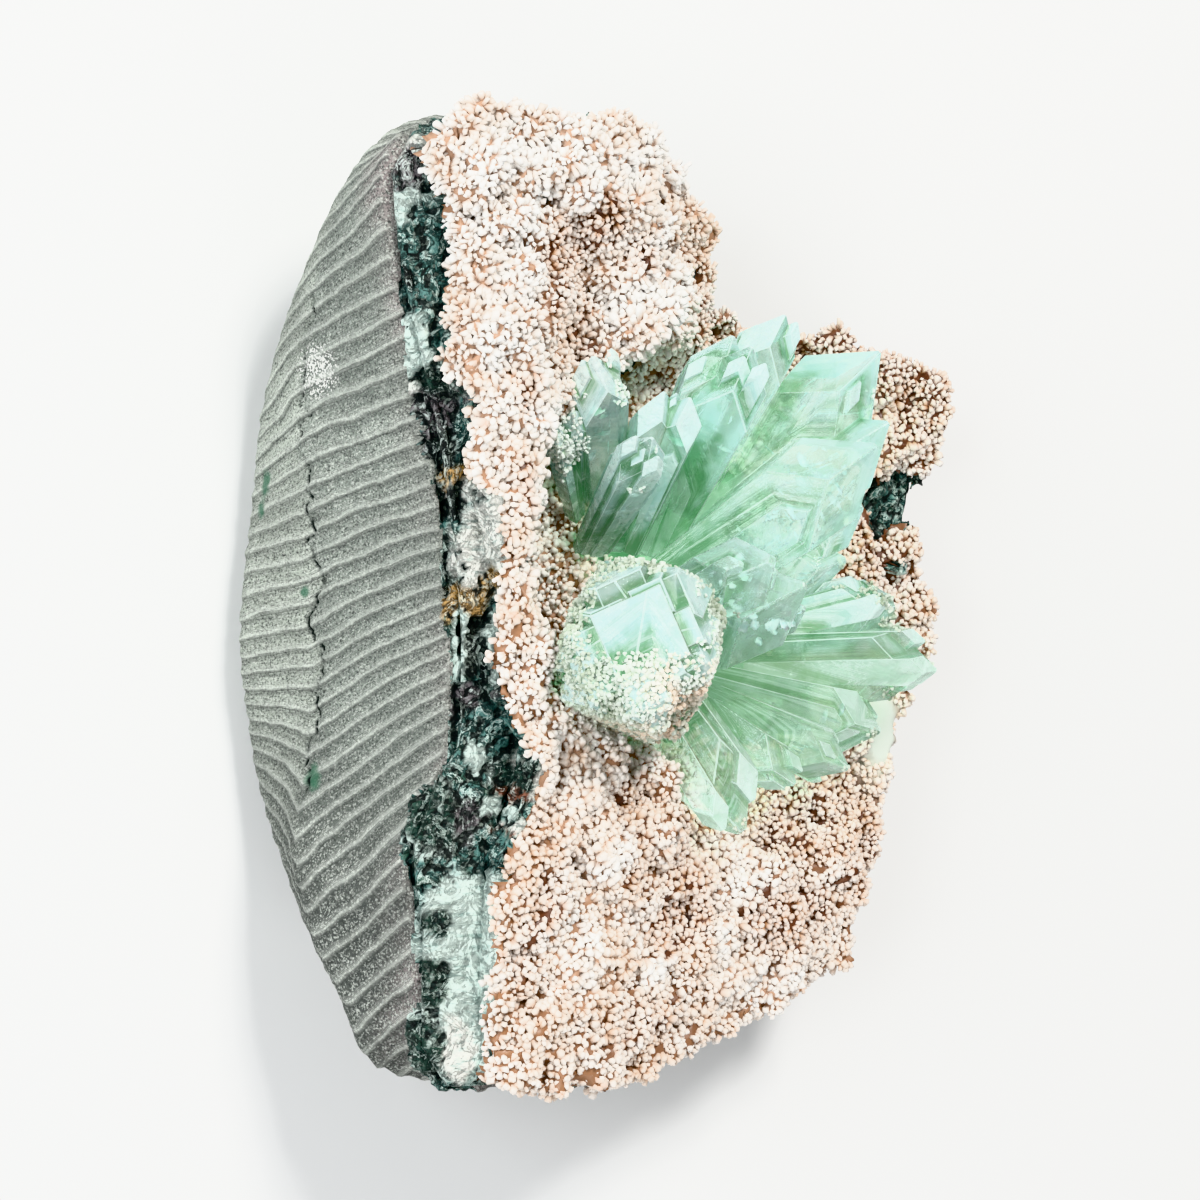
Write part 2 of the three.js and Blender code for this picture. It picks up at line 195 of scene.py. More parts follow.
def spot(x, y, at, reach):
    """1 at a place seen from above, falling to 0 around it. Millimetres."""
    return np.exp(-(((x - at[0]) / reach[0]) ** 2 + ((y - at[1]) / reach[1]) ** 2))


def each_point(points, function):
    """A function of a place in millimetres, at every point."""
    return np.array([function(Vector(p)) for p in points])


def read_points(mesh):
    values = np.empty(len(mesh.vertices) * 3, np.float32)
    mesh.vertices.foreach_get("co", values)
    return values.reshape(-1, 3).astype(np.float64)


def read_normals(mesh):
    values = np.empty(len(mesh.vertices) * 3, np.float32)
    mesh.vertex_normals.foreach_get("vector", values)
    return values.reshape(-1, 3).astype(np.float64)


def write_points(mesh, points):
    mesh.vertices.foreach_set("co", points.astype(np.float32).ravel())
    mesh.update()


def write_field(mesh, name, values):
    layer = mesh.attributes.get(name) or mesh.attributes.new(name, "FLOAT", "POINT")
    layer.data.foreach_set("value", np.asarray(values, np.float32))


def write_colours(mesh, name, colours):
    layer = mesh.attributes.get(name) or mesh.attributes.new(name, "FLOAT_COLOR", "POINT")
    full = np.ones((len(colours), 4), np.float32)
    full[:, :3] = colours
    layer.data.foreach_set("color", full.ravel())


def neighbour_mean(mesh, values):
    """Each vertex's mean over its neighbours, of one number or of a row of numbers."""
    pairs = np.empty(len(mesh.edges) * 2, np.int32)
    mesh.edges.foreach_get("vertices", pairs)
    a, b = pairs.reshape(-1, 2).T
    count = np.bincount(a, minlength=len(values)) + np.bincount(b, minlength=len(values))
    rows = values.reshape(len(values), -1)
    total = np.stack(
        [
            np.bincount(a, row[b], minlength=len(values)) + np.bincount(b, row[a], minlength=len(values))
            for row in rows.T
        ],
        axis=1,
    )
    return (total / np.maximum(count, 1)[:, None]).reshape(values.shape)


def hollow_depth(mesh, rounds):
    """How deep each vertex lies under the surface around it, in metres; negative on a crest."""
    points = read_points(mesh)
    around = points
    for _ in range(rounds):
        around = neighbour_mean(mesh, around)
    return ((around - points) * read_normals(mesh)).sum(axis=1)


def new_object(name, mesh):
    piece = bpy.data.objects.new(name, mesh)
    bpy.context.scene.collection.objects.link(piece)
    return piece


def copy_of_node(node, name):
    """A merged copy of a solid's mesh, ready to be dressed."""
    mesh = frame["nodes"][node].data.copy()
    mesh.name = name
    mesh.materials.clear()
    shape = bmesh.new()
    shape.from_mesh(mesh)
    bmesh.ops.remove_doubles(shape, verts=shape.verts, dist=0.00002)
    bmesh.ops.recalc_face_normals(shape, faces=shape.faces)
    shape.to_mesh(mesh)
    shape.free()
    return new_object(name, mesh)


def apply_modifiers(piece):
    """Puts what the modifiers make in the piece's own mesh."""
    graph = bpy.context.evaluated_depsgraph_get()
    graph.update()
    mesh = bpy.data.meshes.new_from_object(
        piece.evaluated_get(graph), preserve_all_data_layers=True, depsgraph=graph
    )
    old = piece.data
    piece.modifiers.clear()
    piece.data = mesh
    bpy.data.meshes.remove(old)
    mesh.name = piece.name


def remesh(piece, cell):
    """Gives a piece even faces, so that relief can be laid on it."""
    modifier = piece.modifiers.new("Even cells", "REMESH")
    modifier.mode = "VOXEL"
    modifier.voxel_size = cell
    modifier.adaptivity = 0.0
    apply_modifiers(piece)


def dress(piece, slot, *materials, smooth=True):
    """Materials, shading and body of a finished piece; the slot is not used."""
    for material in materials:
        piece.data.materials.append(material)
    piece.data.shade_smooth() if smooth else piece.data.shade_flat()
    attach(piece, "root")


# Node helpers


def add_node(tree, kind, inputs=None, **settings):
    """A node with its settings and inputs; an input that is a socket is linked, any other is a value."""
    node = tree.nodes.new(kind)
    for key, value in settings.items():
        setattr(node, key, value)
    for key, value in (inputs or {}).items():
        socket = node.inputs[key]
        if isinstance(value, bpy.types.NodeSocket):
            tree.links.new(value, socket)
        else:
            socket.default_value = value
    return node


def math_node(tree, operation, a, b=0.0, clamp=False):
    return add_node(tree, "ShaderNodeMath", {0: a, 1: b}, operation=operation, use_clamp=clamp).outputs[0]


def plus(tree, a, b):
    return math_node(tree, "ADD", a, b)


def minus(tree, a, b):
    return math_node(tree, "SUBTRACT", a, b)


def times(tree, a, b, clamp=False):
    return math_node(tree, "MULTIPLY", a, b, clamp)


def greater(tree, a, b):
    return math_node(tree, "MAXIMUM", a, b)


def mix_colour(tree, factor, a, b):
    a, b = (c if isinstance(c, bpy.types.NodeSocket) else (*c, 1.0) for c in (a, b))
    return add_node(tree, "ShaderNodeMix", {0: factor, 6: a, 7: b}, data_type="RGBA").outputs[2]


def paint(tree, tint, *layers):
    """Colours laid over a tint one after another: each layer is where it shows, and its colour."""
    for shown, over in layers:
        tint = mix_colour(tree, shown, tint, over)
    return tint


def remap(tree, value, low, high, to_low=0.0, to_high=1.0, smooth=False):
    values = {"Value": value, "From Min": low, "From Max": high, "To Min": to_low, "To Max": to_high}
    kind = "SMOOTHSTEP" if smooth else "LINEAR"
    return add_node(tree, "ShaderNodeMapRange", values, interpolation_type=kind).outputs[0]


def noise_texture(tree, vector, scale, detail=2.0, roughness=0.5, distortion=0.0):
    values = {
        "Vector": vector, "Scale": scale, "Detail": detail, "Roughness": roughness, "Distortion": distortion
    }
    return add_node(tree, "ShaderNodeTexNoise", values).outputs["Fac"]


def field(tree, name):
    return add_node(tree, "ShaderNodeAttribute", attribute_name=name).outputs["Fac"]


def colour_field(tree, name):
    return add_node(tree, "ShaderNodeAttribute", attribute_name=name).outputs["Color"]


def object_place(tree):
    return add_node(tree, "ShaderNodeTexCoord").outputs["Object"]


def start_material(name):
    material = bpy.data.materials.new(name)
    material.use_nodes = True
    return material, material.node_tree, material.node_tree.nodes["Principled BSDF"]


def bump(tree, height, strength, distance):
    node = add_node(tree, "ShaderNodeBump", {"Height": height, "Strength": strength, "Distance": distance})
    return node.outputs["Normal"]


def grain_group():
    """Fine mineral grain, shared by the stone, the rind and the crust."""
    name = "Mineral grain"
    tree = bpy.data.node_groups.get(name)
    if tree:
        return tree
    tree = bpy.data.node_groups.new(name, "ShaderNodeTree")
    tree.interface.new_socket("Place", in_out="INPUT", socket_type="NodeSocketVector")
    size = tree.interface.new_socket("Grains per metre", in_out="INPUT", socket_type="NodeSocketFloat")
    size.default_value = 1800.0
    tree.interface.new_socket("Grain", in_out="OUTPUT", socket_type="NodeSocketFloat")
    tree.interface.new_socket("Speckle", in_out="OUTPUT", socket_type="NodeSocketFloat")
    start = tree.nodes.new("NodeGroupInput")
    end = tree.nodes.new("NodeGroupOutput")
    place, scale = start.outputs[0], start.outputs[1]
    soft = noise_texture(tree, place, scale, detail=3.0, roughness=0.65)
    cells = add_node(tree, "ShaderNodeTexVoronoi", {"Vector": place, "Scale": times(tree, scale, 1.3)})
    grey = add_node(tree, "ShaderNodeSeparateColor", {0: cells.outputs["Color"]}).outputs[0]
    tree.links.new(soft, end.inputs["Grain"])
    tree.links.new(grey, end.inputs["Speckle"])
    return tree


def add_grain(tree, place, per_metre):
    group = add_node(tree, "ShaderNodeGroup", node_tree=grain_group())
    tree.links.new(place, group.inputs["Place"])
    group.inputs["Grains per metre"].default_value = per_metre
    return group.outputs["Grain"], group.outputs["Speckle"]


# The stone

# Stains and amygdales on the stone's left side, and a spot of painted glints, in millimetres: place along
# it, height, and reach along and up.
OCHRE_STAINS = [(-2.0, 50.0, 4.5, 2.4), (5.0, 50.5, 3.5, 1.6)]
AMYGDALES = [(-33.0, 24.0, 3.4, 2.4), (1.5, 21.0, 1.4, 1.2), (22.0, 12.0, 3.5, 1.6), (17.0, 11.0, 2.0, 1.2)]
PAINTED_GLINT_PLACES = [(43.0, 27.0, 6.0, 6.0)]
MARK_RISE = 0.74  # the share of a tool mark that rises; the rest drops
RIND_LAP = 14.0  # how far the rind laps over the stone, in millimetres
STONE_SMOOTHING = 7
PALE_GRAINS = (0.78, 0.82, 0.74)
# Painted highlight on the rising face of each tool mark.
PAINTED_RIDGE_LIGHT = (0.8, 0.84, 0.76)
PAINTED_GLINT_WHITE = (0.8, 0.8, 0.76)
# Black painted into the crack, as the shade inside it.
CRACK_SHADE = (0.012, 0.016, 0.014)


def crease_height(x, y):
    """Height of the crease between the two facets of a side, in millimetres."""
    left = smoothstep(-10.0, 50.0, -x)
    end = smoothstep(38.0, 90.0, np.abs(y))
    return 13.0 + (9.0 + 14.0 * end) * left


def way_round(x, y, pitch):
    """Where each point lies on the way round the stone, counted in tool marks."""
    bins = 360
    turn = np.arctan2(y, x) % (2.0 * math.pi)
    slot = (turn / (2.0 * math.pi) * bins).astype(int) % bins
    reach = np.zeros(bins)
    np.maximum.at(reach, slot, np.hypot(x, y))
    for _ in range(6):
        reach = (np.roll(reach, 1) + 2.0 * reach + np.roll(reach, -1)) / 4.0
    edges = np.arange(bins + 1) * 2.0 * math.pi / bins
    ring = np.append(reach, reach[0])
    corners = np.stack([ring * np.cos(edges), ring * np.sin(edges)], axis=1)
    steps = np.hypot(*np.diff(corners, axis=0).T)
    walked = np.concatenate([[0.0], np.cumsum(steps)])
    marks = round(walked[-1] / pitch)
    return np.interp(turn, edges, walked) / walked[-1] * marks, walked[-1] / marks


def tool_marks(mm, above, settings):
    """The tool marks as a wave that runs round the stone, and their profile from 0 to 1."""
    x, y, _ = mm.T
    count, pitch = way_round(x, y, settings.pitch / MM)
    waver = each_point(mm, lambda p: noise.noise(p * 0.09) * 0.9 + noise.noise(p * 0.3) * 0.35)
    climb = 0.52 + 0.13 * smoothstep(30.0, 80.0, y) - 0.3 * smoothstep(-15.0, -70.0, y)
    fall = 0.25 + 0.5 * smoothstep(0.0, 45.0, y) - 1.3 * smoothstep(0.0, -50.0, y)
    count = count + (waver + np.where(above > 0.0, climb, fall) * above) / pitch
    wave = count * 2.0 * math.pi
    share = count % 1.0
    profile = np.where(share < MARK_RISE, share / MARK_RISE, (1.0 - share) / (1.0 - MARK_RISE))
    return np.cos(wave), np.sin(wave), profile


def shape_stone(piece, settings):
    """Cuts the tool marks, chips and crack into the stone; tells where the rind laps over it, 0 to 1."""
    mesh = piece.data
    points = read_points(mesh)
    for _ in range(STONE_SMOOTHING):
        points = 0.4 * points + 0.6 * neighbour_mean(mesh, points)
    write_points(mesh, points)
    normals = read_normals(mesh)
    mm = points / MM
    x, y, z = mm.T
    side = smoothstep(0.8, 0.55, np.abs(normals[:, 2])) * smoothstep(0.0, 2.0, z)
    chip = each_point(mm, lambda p: noise.noise(p * 0.28) + 0.5 * noise.noise(p * 0.7))
    fine = each_point(mm, lambda p: noise.noise(p * 1.1))
    wander = 4.0 * each_point(mm, lambda p: noise.noise(Vector((0.0, p.y * 0.12, 3.0))))
    wander += 1.8 * each_point(mm, lambda p: noise.noise(Vector((0.0, p.y * 0.5, 8.0))))
    above = z - crease_height(x, y)
    wave_x, wave_y, profile = tool_marks(mm, above, settings)
    off_crack = above - 1.0 - wander
    crack = np.exp(-((off_crack / 0.4) ** 2)) * smoothstep(-30.0, -60.0, x)
    crack *= smoothstep(64.0, 52.0, y) * smoothstep(-46.0, -34.0, y)
    broken = each_point(mm, lambda p: noise.noise(Vector((5.0, p.y * 0.09, 1.0))))
    crack *= smoothstep(-0.3, 0.1, broken + 0.15)
    bite = 0.75 + 0.5 * each_point(mm, lambda p: noise.noise(p * 0.12 + Vector((4.0, 4.0, 4.0))))
    push = side * (
        settings.tool_depth * bite * (profile - 0.6)
        + settings.chips * 0.5 * np.minimum(chip, 0.2)
        + settings.grain * fine
        - settings.crack * crack
    )
    push += (1.0 - side) * (z < 1.5) * settings.grain * 0.3 * (fine - 1.0)
    points = points + normals * push[:, None]
    points[:, 2] = np.maximum(points[:, 2], 0.0)
    write_points(mesh, points)
    write_field(mesh, "side", side)
    write_field(mesh, "wave_x", wave_x)
    write_field(mesh, "wave_y", wave_y)
    write_field(mesh, "crack", crack)
    # The lower facet, below the crack, is painted paler: painted light.
    lower = smoothstep(1.5, -1.5, off_crack) * smoothstep(-20.0, -50.0, x)
    write_field(mesh, "lower", lower)
    # Painted shade: the stone is darkened towards its lower end.
    write_field(mesh, "dim", smoothstep(-10.0, -62.0, y))
    top = 51.0 - 6.0 * smoothstep(60.0, 90.0, np.abs(y))
    rim = smoothstep(11.0, 0.0, top - z) * smoothstep(-20.0, -45.0, x)
    write_field(mesh, "rim", rim)
    patches = {"ochre": OCHRE_STAINS, "green": AMYGDALES, "sparkle": PAINTED_GLINT_PLACES}
    for name, places in patches.items():
        amount = sum(spot(y, z, (py, pz), (ry, rz)) for py, pz, ry, rz in places)
        write_field(mesh, name, amount * smoothstep(-30.0, -50.0, x))
    past = past_edge(points / MM, OUTER_EDGE)
    lip = top - 5.0 + 5.0 * each_point(mm, lambda p: noise.noise(p * 0.3))
    return smoothstep(-0.4, 0.4, past) * (past < RIND_LAP) * smoothstep(-0.4, 0.4, z - lip)


def stone_material(settings):
    material, tree, shader = start_material("tooled_basalt")
    place = object_place(tree)
    grain, speckle = add_grain(tree, place, 2300.0)
    broad = noise_texture(tree, place, 45.0, detail=4.0, roughness=0.6)
    ragged = noise_texture(tree, place, 420.0, detail=3.0)
    side = field(tree, "side")
    wave_x, wave_y = field(tree, "wave_x"), field(tree, "wave_y")
    turn = math_node(tree, "ARCTAN2", wave_y, wave_x)
    share = math_node(tree, "FRACT", plus(tree, math_node(tree, "DIVIDE", turn, 2.0 * math.pi), 1.0))
    share = plus(tree, share, times(tree, minus(tree, ragged, 0.5), 0.14))
    rise = remap(tree, share, 0.0, 0.76)
    drop = remap(tree, share, 0.8, 0.97, 1.0, 0.0)
    profile = times(tree, math_node(tree, "MINIMUM", rise, drop), side)
    across = add_node(tree, "ShaderNodeCombineXYZ", {0: wave_x, 1: wave_y, 2: broad}).outputs[0]
    scratches = noise_texture(tree, across, 3.4, detail=4.0, roughness=0.7)
    lined = times(tree, remap(tree, scratches, 0.5, 0.36), side)
    # Painted shadow in the drop at the end of each tool mark.
    shadow = times(tree, remap(tree, share, 0.78, 0.92), remap(tree, share, 1.0, 0.95))
    shadow = times(tree, times(tree, shadow, side), remap(tree, broad, 0.34, 0.62, 0.15, 0.7))
    # Painted highlight: the rising face of each tool mark is drawn lighter, as if lit.
    painted_ridge_light = times(tree, times(tree, remap(tree, share, 0.45, 0.75, 0.0, 0.35), drop), side)
    ochre, green = plus(tree, field(tree, "ochre"), ragged), plus(tree, field(tree, "green"), ragged)
    crack = plus(tree, field(tree, "crack"), times(tree, ragged, 0.6))
    # The stone's colour: its own grain and stains, with painted highlights and shade on the tool marks,
    # painted shade towards the low end and in the crack, and painted glints.
    worn = paint(
        tree, settings.base,
        # painted light: the lower facet drawn paler
        (field(tree, "lower"), settings.pale),
        # painted shade towards the lower end
        (times(tree, field(tree, "dim"), 0.88), settings.dark_grain_and_shade),
        (times(tree, field(tree, "rim"), remap(tree, broad, 0.35, 0.6)), settings.brown),
        (remap(tree, speckle, 0.5, 1.0, 0.0, 0.7), PALE_GRAINS),
        (remap(tree, grain, 0.53, 0.34, 0.0, 1.0), settings.dark_grain_and_shade),
        (remap(tree, broad, 0.4, 0.62, 0.35, 0.0), settings.dark_grain_and_shade),
        (painted_ridge_light, PAINTED_RIDGE_LIGHT),
        (times(tree, lined, 0.6), settings.dark_grain_and_shade),
        # painted shade at the foot of each tool mark's rise, then painted shadow in its drop
        (times(tree, remap(tree, share, 0.3, 0.0, 0.0, 0.3), side), settings.dark_grain_and_shade),
        (shadow, settings.dark_grain_and_shade),
        (remap(tree, ochre, 0.9, 1.3, 0.0, 0.75), settings.ochre),
        (remap(tree, green, 0.95, 1.35, 0.0, 0.85), settings.green),
        # painted glints: bright specks in one spot
        (remap(tree, times(tree, field(tree, "sparkle"), speckle), 0.35, 0.55), PAINTED_GLINT_WHITE),
        # painted shade in the crack
        (remap(tree, crack, 0.72, 1.1), CRACK_SHADE),
    )
    tree.links.new(worn, shader.inputs["Base Color"])
    tree.links.new(remap(tree, grain, 0.3, 0.7, 0.92, 0.68), shader.inputs["Roughness"])
    height = plus(tree, grain, times(tree, ragged, 0.8))
    height = plus(tree, height, times(tree, profile, 2.0))
    height = plus(tree, height, times(tree, scratches, 2.5))
    tree.links.new(bump(tree, height, 0.8, 0.0003), shader.inputs["Normal"])
    shader.inputs["Specular IOR Level"].default_value = 0.35
    return material


class SPECIMEN_OT_stone(Operator):
    """Dress the basalt: tool marks, grain, chips, crack and stains"""

    bl_idname = "specimen.stone"
    bl_label = "Basalt"

    def execute(self, context):
        settings = context.scene.specimen.stone
        piece = copy_of_node("basalt_matrix", "basalt")
        remesh(piece, settings.cell)
        rind = context.scene.specimen.rind
        over = shape_stone(piece, settings)
        lay_rind_over(piece.data, over, rind)
        dress(piece, "basalt", stone_material(settings), rind_material(rind))
        second_material(piece.data, over)
        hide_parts("basalt_matrix")
        return {"FINISHED"}


# The rind

RIND_MINERALS = ("teal", "black_and_shade", "moss", "mint", "chalk", "ochre", "rust", "ash")
# Minerals along the rind's band, in millimetres: place, reach, mineral and how far it stands out.
RIND_PATCHES = [
    ((-66.0, 82.0), (5.0, 4.0), "chalk", 0.6),
    ((-64.0, 76.0), (3.0, 5.0), "ash", 0.3),
    ((-63.0, 71.0), (4.0, 3.5), "mint", 0.3),
    ((-60.0, 60.0), (6.0, 13.0), "teal", 0.3),
    ((-64.5, 58.0), (2.2, 3.0), "black_and_shade", -0.8),
    ((-61.5, 46.0), (3.0, 6.0), "mint", 0.1),
    ((-64.0, 48.0), (1.6, 7.0), "black_and_shade", -0.7),
    ((-58.5, 39.5), (4.5, 3.0), "moss", 0.0),
    ((-61.0, 38.0), (2.5, 2.5), "chalk", 0.2),
    ((-57.5, 32.0), (6.0, 6.0), "ash", -0.7),
    ((-60.5, 30.0), (2.0, 3.0), "black_and_shade", -0.9),
    ((-52.0, 30.0), (2.0, 8.0), "teal", 0.2),
    ((-55.5, 27.0), (2.5, 4.0), "black_and_shade", -1.0),
    ((-51.0, 21.5), (4.0, 3.0), "chalk", 0.3),
    ((-52.5, 23.0), (2.2, 2.0), "ochre", 0.2),
    ((-54.0, 18.0), (2.2, 3.6), "black_and_shade", -1.3),
    ((-47.5, 10.5), (6.2, 10.0), "chalk", 0.8),
    ((-51.5, -0.5), (4.5, 3.6), "ochre", 0.5),
    ((-47.5, 3.5), (2.0, 3.0), "ochre", 0.6),
    ((-54.0, 4.5), (1.7, 4.5), "black_and_shade", -1.3),
    ((-48.5, -9.5), (3.0, 7.0), "black_and_shade", -1.6),
    ((-45.5, -9.0), (1.3, 7.5), "mint", 0.4),
    ((-51.5, -8.0), (1.0, 7.0), "mint", 0.2),
    ((-51.0, -19.0), (4.5, 3.5), "ash", 0.2),
    ((-51.5, -20.5), (2.0, 2.5), "black_and_shade", -0.8),
    ((-46.0, -25.0), (5.5, 7.0), "teal", 0.1),
    ((-49.5, -29.0), (2.2, 3.0), "mint", 0.2),
    ((-42.0, -32.0), (4.0, 3.5), "moss", 0.1),
    ((-43.0, -35.5), (3.8, 1.3), "rust", 0.1),
    ((-58.0, -39.5), (4.6, 6.8), "moss", 0.7),
    ((-51.0, -40.5), (3.5, 4.5), "ash", 0.1),
    ((-38.5, -33.0), (3.6, 6.0), "chalk", 0.2),
    ((-43.5, -43.0), (3.0, 2.5), "chalk", 0.2),
    ((-47.0, -38.0), (2.5, 2.0), "mint", 0.1),
    ((-46.5, -43.0), (2.0, 1.2), "rust", 0.1),
    ((-47.5, -46.0), (3.5, 4.0), "teal", 0.1),
    ((-52.0, -60.0), (9.5, 11.0), "mint", 0.4),
    ((-50.0, -76.0), (7.0, 12.0), "mint", 0.4),
    ((-57.5, -59.0), (3.0, 3.0), "moss", 0.9),
    ((-59.0, -69.5), (5.0, 5.2), "moss", 0.9),
    ((-60.5, -82.5), (4.8, 7.0), "moss", 0.9),
    ((-53.5, -82.0), (3.0, 6.5), "chalk", 0.4),
    ((65.4, 6.5), (1.9, 1.6), "mint", 0.3),
    ((65.4, 6.5), (1.0, 0.8), "teal", 0.3),
]


# The outer and the inner edge of the rind on the broken top, in millimetres: place along the
# specimen and across it at the height EDGE_HEIGHT. Both edges lean inwards as they go down.
EDGE_HEIGHT = 50.0
EDGE_LEAN = 0.62
OUTER_EDGE = [
    (72.0, -60.0), (63.0, -64.0), (54.0, -63.7), (45.0, -63.0), (37.5, -62.8), (30.0, -61.2),
    (22.8, -58.0), (18.7, -55.4), (9.0, -55.4), (-1.6, -55.0), (-12.5, -53.2), (-22.0, -53.0),
    (-29.8, -54.5), (-32.2, -55.6), (-35.5, -62.4), (-46.5, -64.0), (-52.0, -60.2), (-63.5, -61.5),
    (-70.0, -58.5), (-78.0, -63.2), (-88.0, -62.0),
]
INNER_EDGE = [
    (92.0, -61.0), (78.6, -61.2), (71.9, -59.3), (68.4, -57.3), (63.1, -54.6), (54.7, -54.2),
    (49.6, -56.9), (45.3, -58.9), (41.1, -55.2), (37.9, -49.3), (30.2, -48.5), (23.0, -50.0),
    (18.9, -42.3), (9.1, -41.5), (-1.7, -44.2), (-12.4, -44.0), (-15.3, -43.6), (-23.6, -39.3),
    (-30.8, -32.9), (-39.1, -35.7), (-46.9, -41.3), (-52.3, -44.5), (-63.6, -43.6), (-75.6, -45.7),
    (-83.2, -49.5), (-92.0, -50.4),
]
RIND_FLAKES = (0.5, 0.6, 0.52)


def past_edge(mm, edge):
    """How far each point lies beyond an edge of the rind towards the middle, in millimetres."""
    along, across = np.array(sorted(edge)).T
    ragged = each_point(mm, lambda p: 1.1 * noise.noise(p * 0.33) + 0.7 * noise.noise(p * 0.9))
    return mm[:, 0] + EDGE_LEAN * (mm[:, 2] - EDGE_HEIGHT) + ragged - np.interp(mm[:, 1], along, across)


def rind_look(mm, settings):
    """The rind's mineral colour at each point, how far it stands out there, and how firm it is."""
    warp_x = each_point(mm, lambda p: noise.noise(p * 0.35) + 0.6 * noise.noise(p * 1.1)) * 1.6
    warp_y = each_point(mm, lambda p: noise.noise(p * 0.35 + Vector((9.0, 4.0, 2.0)))) * 2.0
    x, y = mm[:, 0] + warp_x, mm[:, 1] + warp_y
    palette = {name: np.array(getattr(settings, name)) for name in RIND_MINERALS}
    mottle = smoothstep(-0.1, 0.35, each_point(mm, lambda p: noise.noise(p * 0.5 + Vector((1.0, 5.0, 3.0)))))
    tint = palette["teal"] * (1.0 - mottle[:, None]) + palette["moss"] * mottle[:, None]
    lift = np.zeros(len(x))
    nodule = np.zeros(len(x))
    firm = np.zeros(len(x))
    for at, reach, mineral, rise in RIND_PATCHES:
        close = spot(x, y, at, reach)
        inside = smoothstep(0.3, 0.5, close)
        if mineral == "moss":
            rim = smoothstep(0.2, 0.3, close)[:, None]
            tint = tint * (1.0 - rim) + palette["mint"] * rim
        tint = tint * (1.0 - inside[:, None]) + palette[mineral] * inside[:, None]
        lift = lift * (1.0 - inside) + rise * inside
        nodule = nodule * (1.0 - inside) + inside * (mineral == "moss")
        firm = firm * (1.0 - inside) + inside * (mineral in ("mint", "chalk"))
    lumps = each_point(mm, lambda p: noise.turbulence(p * 0.42, 3, False) - 0.45)
    curls = each_point(mm, lambda p: noise.voronoi(p * 0.75)[0][0])
    grooves = np.sin((mm[:, 0] * 0.45 - mm[:, 1] * 0.8) * 2.6 + 3.0 * lumps) * 0.1
    relief = lift * 0.8 + lumps * (1.0 - 0.7 * firm) + nodule * (0.35 - 0.7 * curls) + firm * grooves
    push = settings.lump * relief
    # Painted shade: the nodules are darkened towards their edges, in the low seams between them.
    tint = tint * (1.0 - 0.55 * (smoothstep(0.18, 0.42, curls) * nodule)[:, None])
    return np.clip(tint, 0.0, 1.0), push, np.clip(firm + 0.3 * nodule, 0.0, 1.0)


def write_rind_look(mesh, tint, firm):
    # Painted shade: how deep each point lies in a hollow, painted black in the material.
    hollow = np.clip(0.5 + hollow_depth(mesh, 3) / (0.45 * MM) * (1.0 - 0.7 * firm), 0.0, 1.0)
    write_colours(mesh, "mineral", tint)
    write_field(mesh, "hollow", hollow)
    write_field(mesh, "firm", firm)


def lay_rind_over(mesh, over, settings):
    """Gives the points of another solid where the rind runs over it the rind's own look and relief."""
    points = read_points(mesh)
    chosen = np.flatnonzero(over > 0.02)
    tint = np.tile(np.array(settings.teal), (len(points), 1))
    push = np.zeros(len(points))
    firm = np.zeros(len(points))
    tint[chosen], push[chosen], firm[chosen] = rind_look(points[chosen] / MM, settings)
    write_points(mesh, points + read_normals(mesh) * (push * over)[:, None])
    write_rind_look(mesh, tint, firm)


def second_material(mesh, amount):
    """Faces take the piece's second material where the amount at their corners is over a half."""
    sides = [int(np.mean([amount[v] for v in face.vertices]) > 0.5) for face in mesh.polygons]
    mesh.polygons.foreach_set("material_index", sides)


def shape_rind(piece, settings):
    mesh = piece.data
    points = read_points(mesh)
    points = 0.6 * points + 0.4 * neighbour_mean(mesh, points)
    write_points(mesh, points)
    normals = read_normals(mesh)
    tint, push, firm = rind_look(points / MM, settings)
    shown = smoothstep(0.2, 0.6, normals[:, 2])
    write_points(mesh, points + normals * (push * shown)[:, None])
    write_rind_look(mesh, tint, firm)


